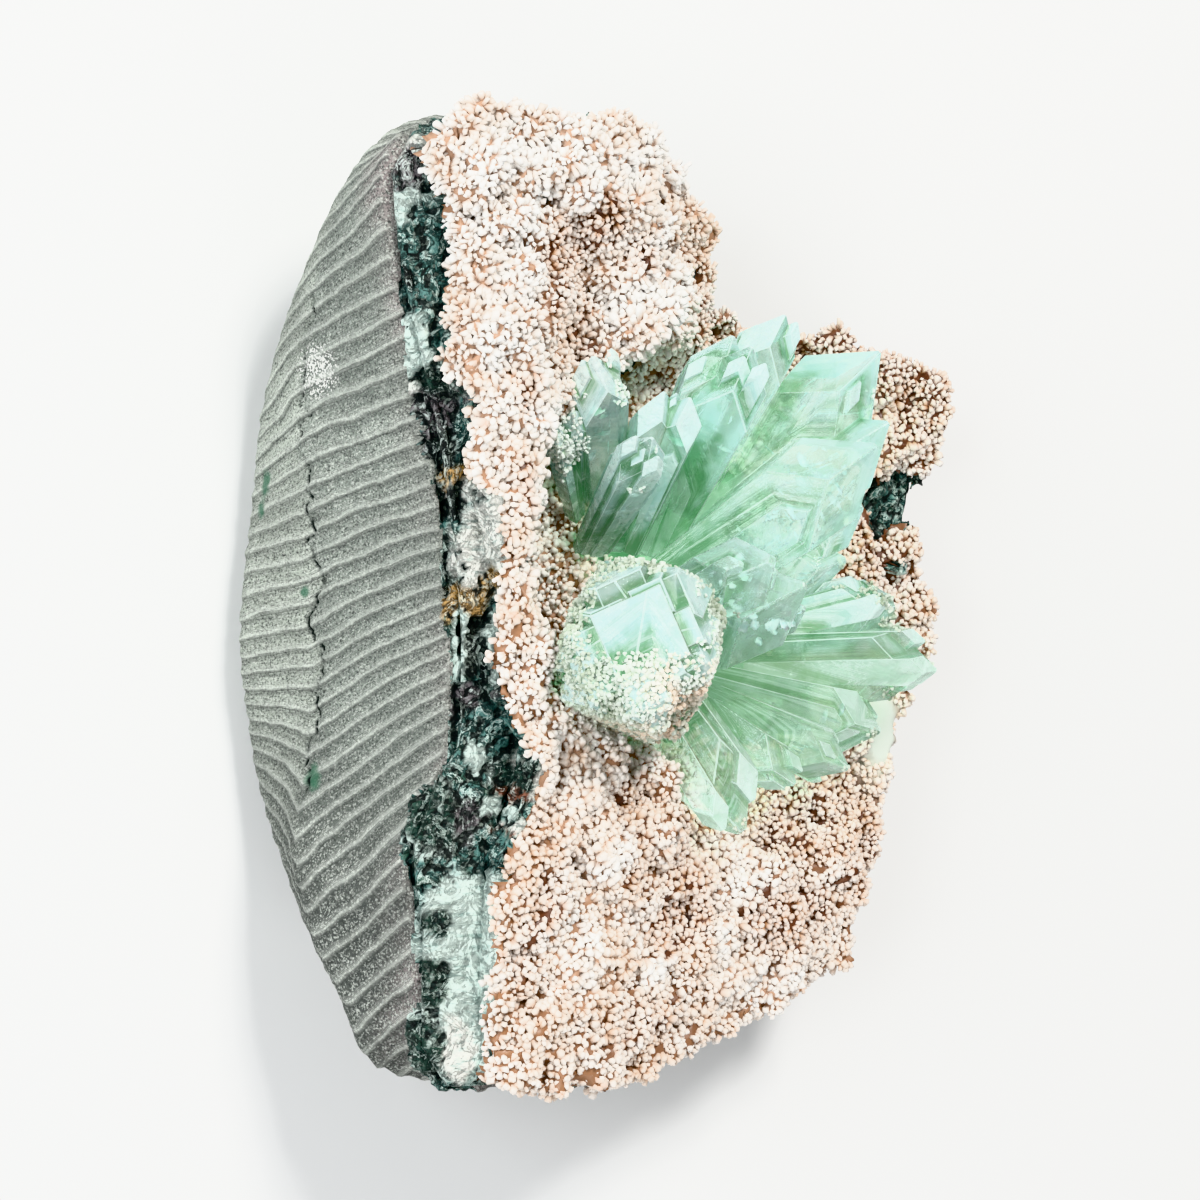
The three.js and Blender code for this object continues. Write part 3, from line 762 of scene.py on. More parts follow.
def rind_material(settings):
    name = "celadonite_rind"
    if name in bpy.data.materials:
        return bpy.data.materials[name]
    material, tree, shader = start_material(name)
    place = object_place(tree)
    grain, speckle = add_grain(tree, place, 1300.0)
    patchy = noise_texture(tree, place, 380.0, detail=4.0, roughness=0.65, distortion=0.6)
    curled = noise_texture(tree, place, 260.0, detail=5.0, roughness=0.7, distortion=1.6)
    crease = remap(tree, math_node(tree, "ABSOLUTE", minus(tree, curled, 0.5)), 0.05, 0.0)
    thread = remap(tree, math_node(tree, "ABSOLUTE", minus(tree, curled, 0.58)), 0.03, 0.0, 0.0, 0.8)
    firm = field(tree, "firm")
    soft = remap(tree, firm, 0.0, 1.0, 1.0, 0.25)
    pale = greater(tree, remap(tree, patchy, 0.54, 0.68, 0.0, 0.6), thread)
    turned = add_node(
        tree, "ShaderNodeMapping", {"Vector": place, "Rotation": (0.0, 0.0, 0.5), "Scale": (0.12, 1.0, 1.0)}
    )
    fibres = noise_texture(tree, turned.outputs[0], 1100.0, detail=3.0, roughness=0.7)
    tint = paint(
        tree, colour_field(tree, "mineral"),
        (times(tree, pale, soft), settings.mint),
        (times(tree, remap(tree, patchy, 0.45, 0.32, 0.0, 0.9), soft), settings.black_and_shade),
        (times(tree, crease, remap(tree, firm, 0.0, 1.0, 0.85, 0.1)), settings.black_and_shade),
        # painted shade in the hollows
        (remap(tree, field(tree, "hollow"), 0.54, 0.8, 0.0, 0.95), settings.black_and_shade),
        (remap(tree, speckle, 0.8, 1.0, 0.0, 0.35), RIND_FLAKES),
        (times(tree, remap(tree, fibres, 0.5, 0.36, 0.0, 0.55), firm), settings.teal),
    )
    tree.links.new(tint, shader.inputs["Base Color"])
    tree.links.new(remap(tree, grain, 0.3, 0.7, 0.9, 0.55), shader.inputs["Roughness"])
    height = plus(tree, grain, times(tree, patchy, 2.5))
    height = minus(tree, height, times(tree, crease, 1.2))
    tree.links.new(bump(tree, height, 0.9, 0.0005), shader.inputs["Normal"])
    return material


class SPECIMEN_OT_rind(Operator):
    """Dress the green rind with its minerals, nodules and pits"""

    bl_idname = "specimen.rind"
    bl_label = "Rind"

    def execute(self, context):
        settings = context.scene.specimen.rind
        piece = copy_of_node("celadonite_rind", "rind")
        remesh(piece, settings.cell)
        shape_rind(piece, settings)
        dress(piece, "rind", rind_material(settings))
        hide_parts("celadonite_rind")
        return {"FINISHED"}


# The crust

# Where crevices show brown between the crystals, in millimetres: place, reach and strength.
BROWN_PLACES = [
    ((-28.0, 68.0), (8.0, 5.5), 1.0),
    ((-24.0, 72.0), (3.5, 3.0), 1.0),
    ((-34.5, 63.5), (4.5, 3.5), 1.0),
    ((-8.0, 77.0), (3.0, 3.0), 0.9),
    ((-14.0, 64.0), (4.0, 4.5), 0.8),
    ((-32.0, 78.0), (3.0, 3.5), 0.45),
    ((-26.0, 51.0), (3.5, 5.0), 0.9),
    ((-34.0, 54.0), (3.5, 4.0), 0.7),
    ((-42.5, 38.0), (3.0, 4.0), 0.9),
    ((-42.0, 22.0), (2.6, 5.0), 1.0),
    ((-34.5, 15.0), (4.0, 4.5), 0.9),
    ((-37.5, 6.0), (3.0, 4.0), 0.8),
    ((-33.0, -8.0), (5.0, 9.0), 0.5),
    ((6.0, 65.0), (4.5, 5.0), 0.5),
    ((10.0, 54.0), (5.0, 6.0), 0.9),
    ((48.0, 48.0), (30.0, 9.0), 0.75),
    ((66.0, 36.0), (10.0, 12.0), 0.6),
    ((58.0, 6.0), (12.0, 12.0), 0.9),
    ((0.0, -47.0), (5.0, 7.0), 1.0),
    ((-14.5, -52.0), (4.0, 7.0), 0.8),
    ((-4.0, -64.0), (7.0, 5.5), 1.0),
    ((-16.0, -38.0), (7.0, 5.0), 0.8),
    ((3.0, -57.0), (7.0, 5.5), 0.8),
    ((22.0, -62.0), (8.0, 6.0), 0.7),
    ((33.0, -44.0), (8.0, 8.0), 1.0),
    ((32.0, -65.0), (12.0, 7.0), 0.9),
    ((52.0, -48.0), (9.0, 14.0), 0.7),
    ((-11.0, -80.0), (18.0, 5.5), 0.6),
    ((-38.0, -55.0), (5.0, 6.0), 0.55),
    ((-42.0, -66.0), (3.5, 8.0), 0.45),
]
# Where the crystals are white and stand taller, in the same way.
WHITE_PLACES = [
    ((-40.0, 82.0), (26.0, 12.0), 0.9),
    ((-8.0, 80.0), (16.0, 12.0), 0.9),
    ((-50.0, 50.0), (8.0, 24.0), 0.9),
    ((-16.0, 54.0), (9.0, 8.0), 0.9),
    ((-4.0, 58.0), (9.0, 9.0), 0.9),
    ((-36.0, 30.0), (5.0, 14.0), 0.9),
    ((-36.0, 12.0), (8.0, 22.0), 0.5),
    ((15.0, -52.0), (11.0, 6.5), 0.9),
    ((12.0, -66.0), (5.0, 6.5), 0.6),
    ((-24.0, -50.0), (6.0, 7.0), 0.8),
    ((-26.0, -69.0), (9.0, 8.0), 0.7),
    ((-9.0, -71.0), (5.0, 4.0), 0.8),
    ((-31.0, -33.0), (9.0, 8.0), 0.8),
    ((24.0, -77.0), (12.0, 4.5), 0.7),
]
# Places without crystals, in millimetres: place and reach.
BARE_FACET = ((61.0, -27.0), (4.5, 9.0))
BARE_HOLE = ((68.0, 20.5), (7.6, 5.0))
TEAL_RING = ((65.4, 6.5), (2.6, 2.2))
UNDER_SPRAY = [((10.0, 10.0), (22.0, 25.0)), ((23.0, -19.0), (23.0, 13.0))]
RIND_EDGE_X = -30.0  # the rind shows at the crust's edge left of here
RIND_FLOOR = 24.0  # and above this height


def under_spray(x, y):
    return np.max([spot(x, y, at, reach) for at, reach in UNDER_SPRAY], axis=0)


def crust_cover(x, y, normal_z):
    """Where crystals grow: over the upper side and its walls, but for the bare places."""
    bare = spot(x, y, *BARE_HOLE) + spot(x, y, *BARE_FACET) + under_spray(x, y)
    return smoothstep(-0.85, -0.5, normal_z) * smoothstep(0.6, 0.4, bare)


def heads(mm, per_mm, shift):
    """Rounded heads packed side by side: 1 at their middle, 0 in the seams between them."""

    def height(p):
        near = noise.voronoi(p * per_mm + Vector(shift))[0][0]
        return math.sqrt(max(0.0, 1.0 - (near / 0.8) ** 2))

    return each_point(mm, height)


def shape_crust(piece, settings):
    """Raises the bed's knobs and says what grows where; tells where the rind shows instead, 0 to 1."""
    mesh = piece.data
    points = read_points(mesh)
    for _ in range(3):
        points = 0.5 * points + 0.5 * neighbour_mean(mesh, points)
    write_points(mesh, points)
    normals = read_normals(mesh)
    mm = points / MM
    x, y, z = mm.T
    upper = crust_cover(x, y, normals[:, 2])
    over = smoothstep(0.4, -0.4, past_edge(mm, INNER_EDGE)) * (x < RIND_EDGE_X) * (z > RIND_FLOOR)
    over = np.maximum(over, smoothstep(0.4, 0.6, spot(x, y, *BARE_HOLE) + spot(x, y, *TEAL_RING)))
    over = np.maximum(over, smoothstep(-0.25, -0.45, normals[:, 2]) * (z > RIND_FLOOR))
    upper *= 1.0 - over
    warp = each_point(mm, lambda p: noise.noise(p * 0.16)) * 3.0
    bent = mm + warp[:, None] * np.array([1.0, 0.6, 0.4])
    knob = heads(bent, 0.15, (2.0, 1.0, 0.0))
    twig = heads(bent, 0.42, (0.0, 5.0, 0.0))
    swell = each_point(mm, lambda p: noise.noise(p * 0.085 + Vector((3.0, 3.0, 3.0))))
    white = np.clip(sum(s * spot(x, y, at, reach) for at, reach, s in WHITE_PLACES), 0.0, 1.0)
    brown = np.clip(sum(s * spot(x, y, at, reach) for at, reach, s in BROWN_PLACES), 0.0, 1.0)
    tall = 1.1 + 0.4 * white + 0.15 * smoothstep(36.0, 50.0, y)
    rise = settings.knob * tall * (knob - 0.75) + settings.twig * (twig - 0.7)
    rise += 1.3 * MM * swell - settings.sink
    points = points + normals * (upper * rise)[:, None]
    write_points(mesh, points)
    seam = np.clip(smoothstep(0.55, 0.1, knob) + 0.6 * smoothstep(0.5, 0.1, twig), 0.0, 1.0)
    write_field(mesh, "cover", upper * (1.0 - 0.35 * seam * np.clip(0.3 + brown, 0.0, 1.0)))
    # The seams between the knobs, where the crystals' colour is painted as shade and glow.
    write_field(mesh, "shade", seam)
    write_field(mesh, "brown", np.clip(brown - 0.4 * white * (brown < 0.6), 0.0, 1.0))
    write_field(mesh, "white", white)
    write_field(mesh, "under", smoothstep(0.2, 0.4, under_spray(x, y)))
    write_field(mesh, "bare", np.clip(1.6 * spot(x, y, *BARE_FACET), 0.0, 1.0))
    write_field(mesh, "size", np.clip(0.85 + 0.15 * white - 0.1 * seam, 0.4, 1.5))
    write_field(mesh, "reach", np.clip(0.9 + 0.35 * white - 0.2 * seam, 0.5, 1.7))
    return over


def crust_material(name, settings, bed):
    material, tree, shader = start_material(name)
    place = object_place(tree)
    grain, _ = add_grain(tree, place, 1600.0)
    white, brown = field(tree, "white"), field(tree, "brown")
    if bed:
        # The bed shows only in the gaps between the crystals: its dark brown is partly painted shade, its
        # peach painted glow.
        tint = paint(
            tree, settings.tan,
            (remap(tree, brown, 0.0, 0.45, 0.5, 1.0), settings.brown),
            (remap(tree, minus(tree, white, brown), 0.0, 0.6, 0.0, 0.3), settings.painted_glow),
            (field(tree, "under"), settings.green),
            (field(tree, "bare"), settings.pale),
        )
    else:
        patch = noise_texture(tree, place, 110.0, detail=3.0)
        warm = noise_texture(tree, place, 60.0, detail=2.0)
        whiteness = plus(tree, remap(tree, patch, 0.36, 0.62, 0.05, 0.75), times(tree, white, 0.6))
        whiteness = minus(tree, whiteness, remap(tree, warm, 0.5, 0.68, 0.0, 0.45))
        tip, tone = field(tree, "tip"), field(tree, "tone")
        # Painted glow and shade: towards each crystal's root and in the seams between the knobs, peach where
        # the crust is white and tan where it is brown.
        glow_and_shade_tint = mix_colour(tree, remap(tree, brown, 0.0, 0.5), settings.painted_glow, settings.tan)
        root = remap(tree, tip, 0.0, 0.6, 1.0, 0.0)
        root = times(tree, root, plus(tree, 0.5, times(tree, brown, 0.9)))
        deep = times(tree, field(tree, "shade"), plus(tree, 0.6, times(tree, brown, 0.6)))
        deep = times(tree, deep, remap(tree, tip, 0.1, 0.9, 1.1, 0.3))
        tint = paint(
            tree, settings.cream,
            (times(tree, whiteness, 1.0, clamp=True), settings.white),
            (times(tree, root, 1.0, clamp=True), glow_and_shade_tint),
            (times(tree, deep, 1.0, clamp=True), glow_and_shade_tint),
            (times(tree, brown, 0.5), settings.tan),
            (remap(tree, tone, 0.6, 1.0, 0.0, 0.4), settings.white),
            (remap(tree, tip, 0.55, 1.0, 0.0, 0.4), settings.white),
        )
    tree.links.new(tint, shader.inputs["Base Color"])
    tree.links.new(remap(tree, grain, 0.3, 0.7, 0.6, 0.3), shader.inputs["Roughness"])
    tree.links.new(bump(tree, grain, 0.3, 0.0002), shader.inputs["Normal"])
    return material


def add_nub(shape, place, sides, width, tall, rng):
    """One small crystal with a domed end, in millimetres."""
    before = set(shape.verts)
    bmesh.ops.create_cone(
        shape, cap_ends=True, segments=sides, radius1=width * 0.42, radius2=width * 0.5, depth=tall,
        matrix=Matrix.Translation((0.0, 0.0, tall / 2)),
    )
    verts = [v for v in shape.verts if v not in before]
    top = max({f for v in verts for f in v.link_faces}, key=lambda f: f.calc_center_median().z)
    bmesh.ops.inset_individual(shape, faces=[top], thickness=width * 0.18, depth=width * 0.16)
    verts = [v for v in shape.verts if v not in before]
    tip = shape.verts.layers.float["tip"]
    for vert in verts:
        vert[tip] = min(1.0, max(0.0, vert.co.z / (tall + width * 0.2)))
        vert.co += Vector([rng.uniform(-0.09, 0.09) * width for _ in range(3)])
    flat = Matrix.Diagonal((1.0, rng.uniform(0.65, 1.0), 1.0, 1.0))
    bmesh.ops.transform(shape, matrix=place @ flat, verts=verts)


# The tufts that crusts are grown from: how many crystals, and how far they spread, in radians.
TUFTS = [(3, 0.75), (3, 0.9), (4, 0.85), (3, 0.6), (2, 0.5), (3, 1.0), (4, 0.7)]


def tuft_forms(name, rng, sides, widths, heights):
    """A few tufts of small crystals, two to four millimetres across, that a crust is grown from."""
    forms = bpy.data.collections.new(name)
    for index, (count, spread) in enumerate(TUFTS):
        shape = bmesh.new()
        shape.verts.layers.float.new("tip")
        for number in range(count):
            around = Matrix.Rotation(2.0 * math.pi * (number + rng.uniform(0.0, 0.6)) / count, 4, "Z")
            outward = Matrix.Rotation(spread * rng.uniform(0.4, 1.2), 4, "X")
            spin = Matrix.Rotation(rng.uniform(0.0, 3.0), 4, "Z")
            start = Matrix.Translation((0.0, -rng.uniform(0.1, 0.5), -0.5))
            place = around @ start @ outward @ spin
            add_nub(shape, place, sides, rng.uniform(*widths), rng.uniform(*heights), rng)
        bmesh.ops.scale(shape, verts=shape.verts, vec=(MM, MM, MM))
        bmesh.ops.recalc_face_normals(shape, faces=shape.faces)
        mesh = bpy.data.meshes.new(f"{name}_{index}")
        shape.to_mesh(mesh)
        shape.free()
        forms.objects.link(bpy.data.objects.new(mesh.name, mesh))
    return forms


def clear_forms(forms):
    for form in list(forms.objects):
        bpy.data.objects.remove(form)
    bpy.data.collections.remove(forms)


def growth_tree():
    """Grows forms out of a surface: spacing and size come from the surface's own fields."""
    name = "Crystal growth"
    tree = bpy.data.node_groups.get(name)
    if tree:
        return tree
    tree = bpy.data.node_groups.new(name, "GeometryNodeTree")
    for label, kind in (
        ("Geometry", "Geometry"), ("Forms", "Collection"), ("Spacing", "Float"), ("Seed", "Int"),
        ("Plot", "Int"), ("Lean", "Float"),
    ):
        tree.interface.new_socket(label, in_out="INPUT", socket_type="NodeSocket" + kind)
    tree.interface.new_socket("Geometry", in_out="OUTPUT", socket_type="NodeSocketGeometry")
    start = tree.nodes.new("NodeGroupInput")
    end = tree.nodes.new("NodeGroupOutput")

    def named(attribute, kind="FLOAT"):
        node = add_node(tree, "GeometryNodeInputNamedAttribute", {"Name": attribute}, data_type=kind)
        return node.outputs["Attribute"]

    def random_value(low, high, offset):
        seed = plus(tree, start.outputs["Seed"], offset)
        node = add_node(tree, "FunctionNodeRandomValue", {2: low, 3: high, "Seed": seed}, data_type="FLOAT")
        return node.outputs[1]

    here = add_node(
        tree, "FunctionNodeCompare", {2: named("plot", "INT"), 3: start.outputs["Plot"]},
        data_type="INT", operation="EQUAL",
    )
    points = add_node(
        tree,
        "GeometryNodeDistributePointsOnFaces",
        {
            "Mesh": start.outputs["Geometry"],
            "Selection": here.outputs[0],
            "Distance Min": start.outputs["Spacing"],
            "Density Max": 6.0e6,
            "Density Factor": named("cover"),
            "Seed": start.outputs["Seed"],
        },
        distribute_method="POISSON",
    )
    toned = add_node(
        tree,
        "GeometryNodeStoreNamedAttribute",
        {"Geometry": points.outputs["Points"], "Name": "tone", "Value": random_value(0.0, 1.0, 1.0)},
        data_type="FLOAT", domain="POINT",
    )
    upright = add_node(
        tree, "FunctionNodeAlignRotationToVector", {"Vector": points.outputs["Normal"]}, axis="Z"
    )
    lean = start.outputs["Lean"]
    tilt = add_node(
        tree,
        "ShaderNodeCombineXYZ",
        {
            0: times(tree, lean, random_value(-1.0, 1.0, 2.0)),
            1: times(tree, lean, random_value(-1.0, 1.0, 3.0)),
            2: random_value(0.0, 2.0 * math.pi, 4.0),
        },
    )
    turned = add_node(
        tree, "FunctionNodeRotateRotation",
        {"Rotation": upright.outputs[0], "Rotate By": tilt.outputs[0]}, rotation_space="LOCAL",
    )
    size = times(tree, named("size"), random_value(0.75, 1.25, 5.0))
    tall = times(tree, size, times(tree, named("reach"), random_value(0.8, 1.3, 6.0)))
    scale = add_node(tree, "ShaderNodeCombineXYZ", {0: size, 1: size, 2: tall})
    forms = add_node(
        tree, "GeometryNodeCollectionInfo",
        {"Collection": start.outputs["Forms"], "Separate Children": True, "Reset Children": True},
    )
    grown = add_node(
        tree,
        "GeometryNodeInstanceOnPoints",
        {
            "Points": toned.outputs[0],
            "Instance": forms.outputs[0],
            "Pick Instance": True,
            "Rotation": turned.outputs[0],
            "Scale": scale.outputs[0],
        },
    )
    real = add_node(tree, "GeometryNodeRealizeInstances", {"Geometry": grown.outputs[0]})
    tree.links.new(real.outputs[0], end.inputs[0])
    return tree


def grow(bed, name, forms, spacing, seed, plot, lean):
    """A joined mesh of crystals grown on one plot of a bed."""
    piece = new_object(name, bed.data.copy())
    modifier = piece.modifiers.new("Growth", "NODES")
    tree = growth_tree()
    modifier.node_group = tree
    values = {"Forms": forms, "Spacing": spacing, "Seed": seed, "Plot": plot, "Lean": lean}
    for item in tree.interface.items_tree:
        if item.in_out == "INPUT" and item.name in values:
            modifier[item.identifier] = values[item.name]
    apply_modifiers(piece)
    piece.data.materials.clear()
    if not piece.data.polygons:
        raise RuntimeError(f"nothing grew on {name}")
    return piece


def write_plots(mesh, function):
    centres = np.empty(len(mesh.polygons) * 3, np.float32)
    mesh.polygons.foreach_get("center", centres)
    layer = mesh.attributes.get("plot") or mesh.attributes.new("plot", "INT", "FACE")
    layer.data.foreach_set("value", function(centres.reshape(-1, 3) / MM).astype(np.int32))


CRUST_PLOTS = [
    "upper_left", "upper_right", "left_wall", "right_ledge",
    "lower_left", "lower_right", "foot_left", "foot_right",
]


def crust_plots(centres):
    """Which plot of the crust each face is in, by its place in CRUST_PLOTS."""
    x, y, _ = centres.T
    row = np.where(y > 42.0, 0, np.where(y > -25.0, 1, np.where(y > -58.0, 2, 3)))
    split = np.where(row == 0, -26.0, np.where(row == 1, 0.0, 2.0))
    return 2 * row + (x > split)


class SPECIMEN_OT_crust(Operator):
    """Grow the stilbite crust: a knobbly bed with small crystals all over it"""

    bl_idname = "specimen.crust"
    bl_label = "Stilbite crust"

    def execute(self, context):
        settings = context.scene.specimen.crust
        bed = copy_of_node("stilbite_druse", "stilbite_bed")
        remesh(bed, settings.cell)
        over = shape_crust(bed, settings)
        lay_rind_over(bed.data, over, context.scene.specimen.rind)
        write_plots(bed.data, crust_plots)
        rng = random.Random(settings.seed)
        nubs = tuft_forms("nubs", rng, 5, (1.25, 1.9), (1.1, 1.8))
        spikes = tuft_forms("spikes", rng, 4, (1.0, 1.6), (1.2, 2.3))
        look = crust_material("stilbite_blades", settings, bed=False)
        for plot, name in enumerate(CRUST_PLOTS):
            upper = name.startswith("upper")
            forms = spikes if upper else nubs
            spacing = settings.spacing * (0.93 if upper else 1.0)
            piece = grow(bed, "stilbite_" + name, forms, spacing, settings.seed + plot, plot, 0.5)
            dress(piece, "stilbite", look)
        clear_forms(nubs)
        clear_forms(spikes)
        rind = context.scene.specimen.rind
        dress(bed, "stilbite", crust_material("stilbite_bed", settings, bed=True), rind_material(rind))
        second_material(bed.data, over)
        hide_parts("stilbite_druse")
        return {"FINISHED"}


# The spray

PYRAMID = 1.25  # how steep the pyramid is that ends a crystal
PRISM_FLARE = 0.62  # a crystal's width at its root, as a share of its full width
SPLAY = 0.045  # how far growths lean from their crystal, in radians
BLUNT = 0.3  # a crystal blunter than this ends in a broad stepped face
BLUNT_MOST = 0.4
OUTLOOK = Vector((-0.53, 0.0, 0.85)).normalized()  # the broad side of every crystal faces this way
REFRACTION = 1.535
LAMP_LIGHT = (0.95, 0.97, 0.955)  # what is left of a lamp's light behind one face of a crystal

# Crystals: ends of the long axis, width, depth, turn, blunt end, number of parallel growths, and how
# frosted the crystal is. Millimetres and degrees. A crystal below CLEAR_BELOW is clear.
CLEAR_BELOW = 0.15
CRYSTALS = [
    ((-9.7, 16.7, 33), (-25.7, 45.4, 55), 11, 9, 30, 0.06, 5, 0.55),
    ((-13.9, 20.4, 34), (-27.6, 35.3, 51), 5.8, 5, 20, 0.1, 4, 0.8),
    ((-16, 16.5, 33), (-30.1, 32.8, 49), 5, 4.4, 38, 0.1, 4, 0.8),
    ((-12.7, 10.7, 34), (-17.7, 30.1, 63), 9.6, 7.4, 38, 0.05, 5, 0.7),
    ((-7.2, 10.8, 34), (-12.4, 39.1, 59), 8.4, 6.6, 24, 0.06, 4, 0.5),
    ((-5.2, 10.7, 35), (-7.9, 38, 61), 8.6, 7, -6, 0.05, 4, 0.4),
    ((-1.7, 10.8, 33), (2.6, 50.3, 60), 12.5, 8.4, 14, 0.05, 6, 0.4),
    ((1, 10.2, 34), (4.2, 48, 64), 14, 10, 2, 0.04, 6, 0.35),
    ((6, 14.5, 33), (19.1, 55.6, 54), 12, 8.5, 4, 0.04, 4, 0.3),
    ((5.6, 9.5, 33), (40.8, 49.2, 56), 21, 13, 2, 0.03, 2, 0.22),
    ((6.6, 5, 33), (40.7, 35, 59), 18, 13, -4, 0.04, 2, 0.08),
    ((0.5, 0, 34), (32.4, 29.9, 66), 21, 17, 6, 0.05, 2, 0.08),
    ((0, -7.5, 33), (12.5, 2.7, 70), 22, 18, 14, 0.05, 2, 0.05),
    ((0, -4, 34), (1.8, 7.4, 74), 15, 13, -6, 0.1, 2, 0.1),
    ((-1.7, -14.2, 34), (-28.4, -6.1, 75.5), 30, 29, 64, 0.35, 10, 0.5),
    ((10.8, 2, 32), (36.9, 8, 50), 12, 10, 14, 0.08, 3, 0.05),
    ((10.8, 0, 32), (40.9, 19, 50), 13, 11, 0, 0.08, 3, 0.08),
    ((14, -9, 32), (54.1, -1.2, 43), 14, 9, 8, 0.16, 7, 0.6),
    ((12, -13, 33), (62.4, -13.4, 45), 16, 10, 14, 0.05, 6, 0.35),
    ((10, -16, 34), (49.3, -26.6, 45), 14, 9, 0, 0.05, 5, 0.3),
    ((8, -18, 35), (39.6, -34, 47), 11, 8, 10, 0.06, 6, 0.3),
    ((5, -18, 35), (25.1, -36.4, 49), 11, 8, 4, 0.06, 5, 0.2),
    ((-2, -15, 36), (11.7, -45.2, 50), 18, 12, 14, 0.08, 6, 0.3),
]

# Where the spray itself is coated with small crystals, in millimetres: place, reach and how thickly;
# and the middle of the blunt crystal's end, which stays smooth.
SMOOTH_END = ((-30.0, -1.5, 76.0), 7.0)
SUGAR_PLACES = [
    ((-22.0, -10.0, 60.0), 21.0, 0.85),
    ((-26.0, -15.0, 73.5), 6.5, 1.0),
    ((-33.0, -14.0, 73.0), 4.5, 0.8),
    ((-18.0, -13.0, 72.0), 6.5, 1.0),
    ((-12.0, -12.0, 68.0), 7.0, 1.0),
    ((-20.0, -20.0, 66.0), 7.0, 1.0),
    ((-13.0, -22.0, 58.0), 8.0, 0.9),
    ((-24.0, 8.0, 70.0), 6.0, 0.75),
    ((-14.0, 7.0, 68.0), 5.0, 0.7),
    ((-9.0, -2.0, 68.0), 5.0, 0.7),
    ((-37.0, 3.0, 68.0), 6.0, 0.75),
    ((-41.0, -7.0, 66.0), 6.0, 0.7),
    ((-18.6, 38.6, 54.0), 3.2, 0.7),
    ((-29.7, 37.4, 52.0), 4.0, 0.5),
    ((-15.1, 24.3, 60.0), 3.0, 0.3),
    ((-15.4, 17.9, 57.0), 5.0, 0.4),
    ((-17.5, 29.8, 62.0), 4.0, 0.25),
    ((-27.5, 30.0, 48.0), 5.5, 0.8),
    ((-26.0, 22.0, 46.0), 5.0, 0.9),
    ((4.7, 48.5, 62.0), 3.0, 0.3),
    ((-7.2, 43.4, 60.0), 5.0, 0.35),
    ((18.6, 54.6, 54.0), 3.0, 0.3),
    ((41.1, 39.9, 53.0), 4.5, 0.7),
    ((34.5, 17.7, 57.0), 5.0, 0.8),
    ((49.3, 2.0, 45.0), 4.0, 0.9),
    ((54.1, -5.1, 43.0), 4.5, 0.9),
    ((39.6, 6.0, 46.0), 5.0, 0.9),
    ((60.8, -14.0, 45.0), 3.5, 0.5),
    ((52.6, -18.4, 44.0), 4.0, 0.6),
    ((48.2, -27.4, 45.0), 3.5, 0.6),
    ((39.6, -33.8, 46.0), 3.5, 0.6),
    ((24.6, -37.2, 48.0), 3.5, 0.5),
    ((11.2, -43.9, 50.0), 5.0, 0.45),
]


def crystal_frame(base, tip):
    """Where a crystal stands: a matrix whose Z runs along it, and its length in millimetres."""
    root = Vector(base)
    along = Vector(tip) - root
    length_mm = along.length
    along.normalize()
    front = (OUTLOOK - along * OUTLOOK.dot(along)).normalized()
    side = front.cross(along)
    place = Matrix((side, front, along)).transposed().to_4x4()
    place.translation = root
    return place, length_mm


def cut(shape, at, normal):
    """Cuts a convex solid by a plane and closes the cut."""
    geometry = shape.verts[:] + shape.edges[:] + shape.faces[:]
    result = bmesh.ops.bisect_plane(
        shape, geom=geometry, plane_co=at, plane_no=normal, clear_outer=True, dist=1e-5
    )
    edges = [e for e in result["geom_cut"] if isinstance(e, bmesh.types.BMEdge)]
    if len(edges) > 2:
        bmesh.ops.holes_fill(shape, edges=edges, sides=0)


def grow_crystal(place, length_mm, width, depth, blunt, bevel, rng, offset=(0.0, 0.0)):
    """One crystal in millimetres: a square prism cut by its pyramid, with worn edges."""
    shape = bmesh.new()
    bmesh.ops.create_cube(shape, size=1.0, matrix=Matrix.Translation((0.0, 0.0, 0.5)))
    for vert in shape.verts:
        flare = PRISM_FLARE if vert.co.z < 0.5 else 1.0
        vert.co = Vector((vert.co.x * flare, vert.co.y * flare, vert.co.z * length_mm))
    taper = 1.0 / (PYRAMID * width)
    for sx in (-1, 1):
        for sy in (-1, 1):
            lean = taper * rng.uniform(0.92, 1.08)
            apex = length_mm + blunt / taper + rng.uniform(-0.02, 0.0) * width
            cut(shape, (0.0, 0.0, apex), Vector((sx, sy, lean)))
    cut(shape, (0.0, 0.0, length_mm), Vector((rng.uniform(-0.1, 0.1), rng.uniform(-0.1, 0.1), 1.0)))
    bmesh.ops.scale(shape, verts=shape.verts, vec=(width, depth, 1.0))
    worn = shape.faces.layers.float.new("worn")
    bevelled = bmesh.ops.bevel(
        shape, geom=shape.edges[:], offset=bevel, affect="EDGES", segments=1, profile=0.5, material=-1,
        clamp_overlap=True,
    )
    for face in bevelled["faces"]:
        face[worn] = 1.0
    along = shape.verts.layers.float.new("along")
    local = shape.verts.layers.float_vector.new("local")
    shift = Vector((rng.uniform(-50, 50), rng.uniform(-50, 50), rng.uniform(-50, 50)))
    span = length_mm * (1.3 if blunt > BLUNT else 1.0)
    for vert in shape.verts:
        vert[along] = vert.co.z / span
        vert[local] = vert.co * MM + shift * MM
    bmesh.ops.translate(shape, verts=shape.verts, vec=(offset[0], offset[1], 0.0))
    bmesh.ops.transform(shape, matrix=Matrix.Scale(MM, 4) @ place, verts=shape.verts)
    bmesh.ops.recalc_face_normals(shape, faces=shape.faces)
    return shape


def sound_crystal(*form, **more):
    """A crystal that is one closed surface: it is cut anew when its worn edges run into each other."""
    for _ in range(9):
        shape = grow_crystal(*form, **more)
        if all(edge.is_manifold and edge.is_contiguous for edge in shape.edges):
            return shape
        shape.free()
    raise RuntimeError("a crystal stays open")


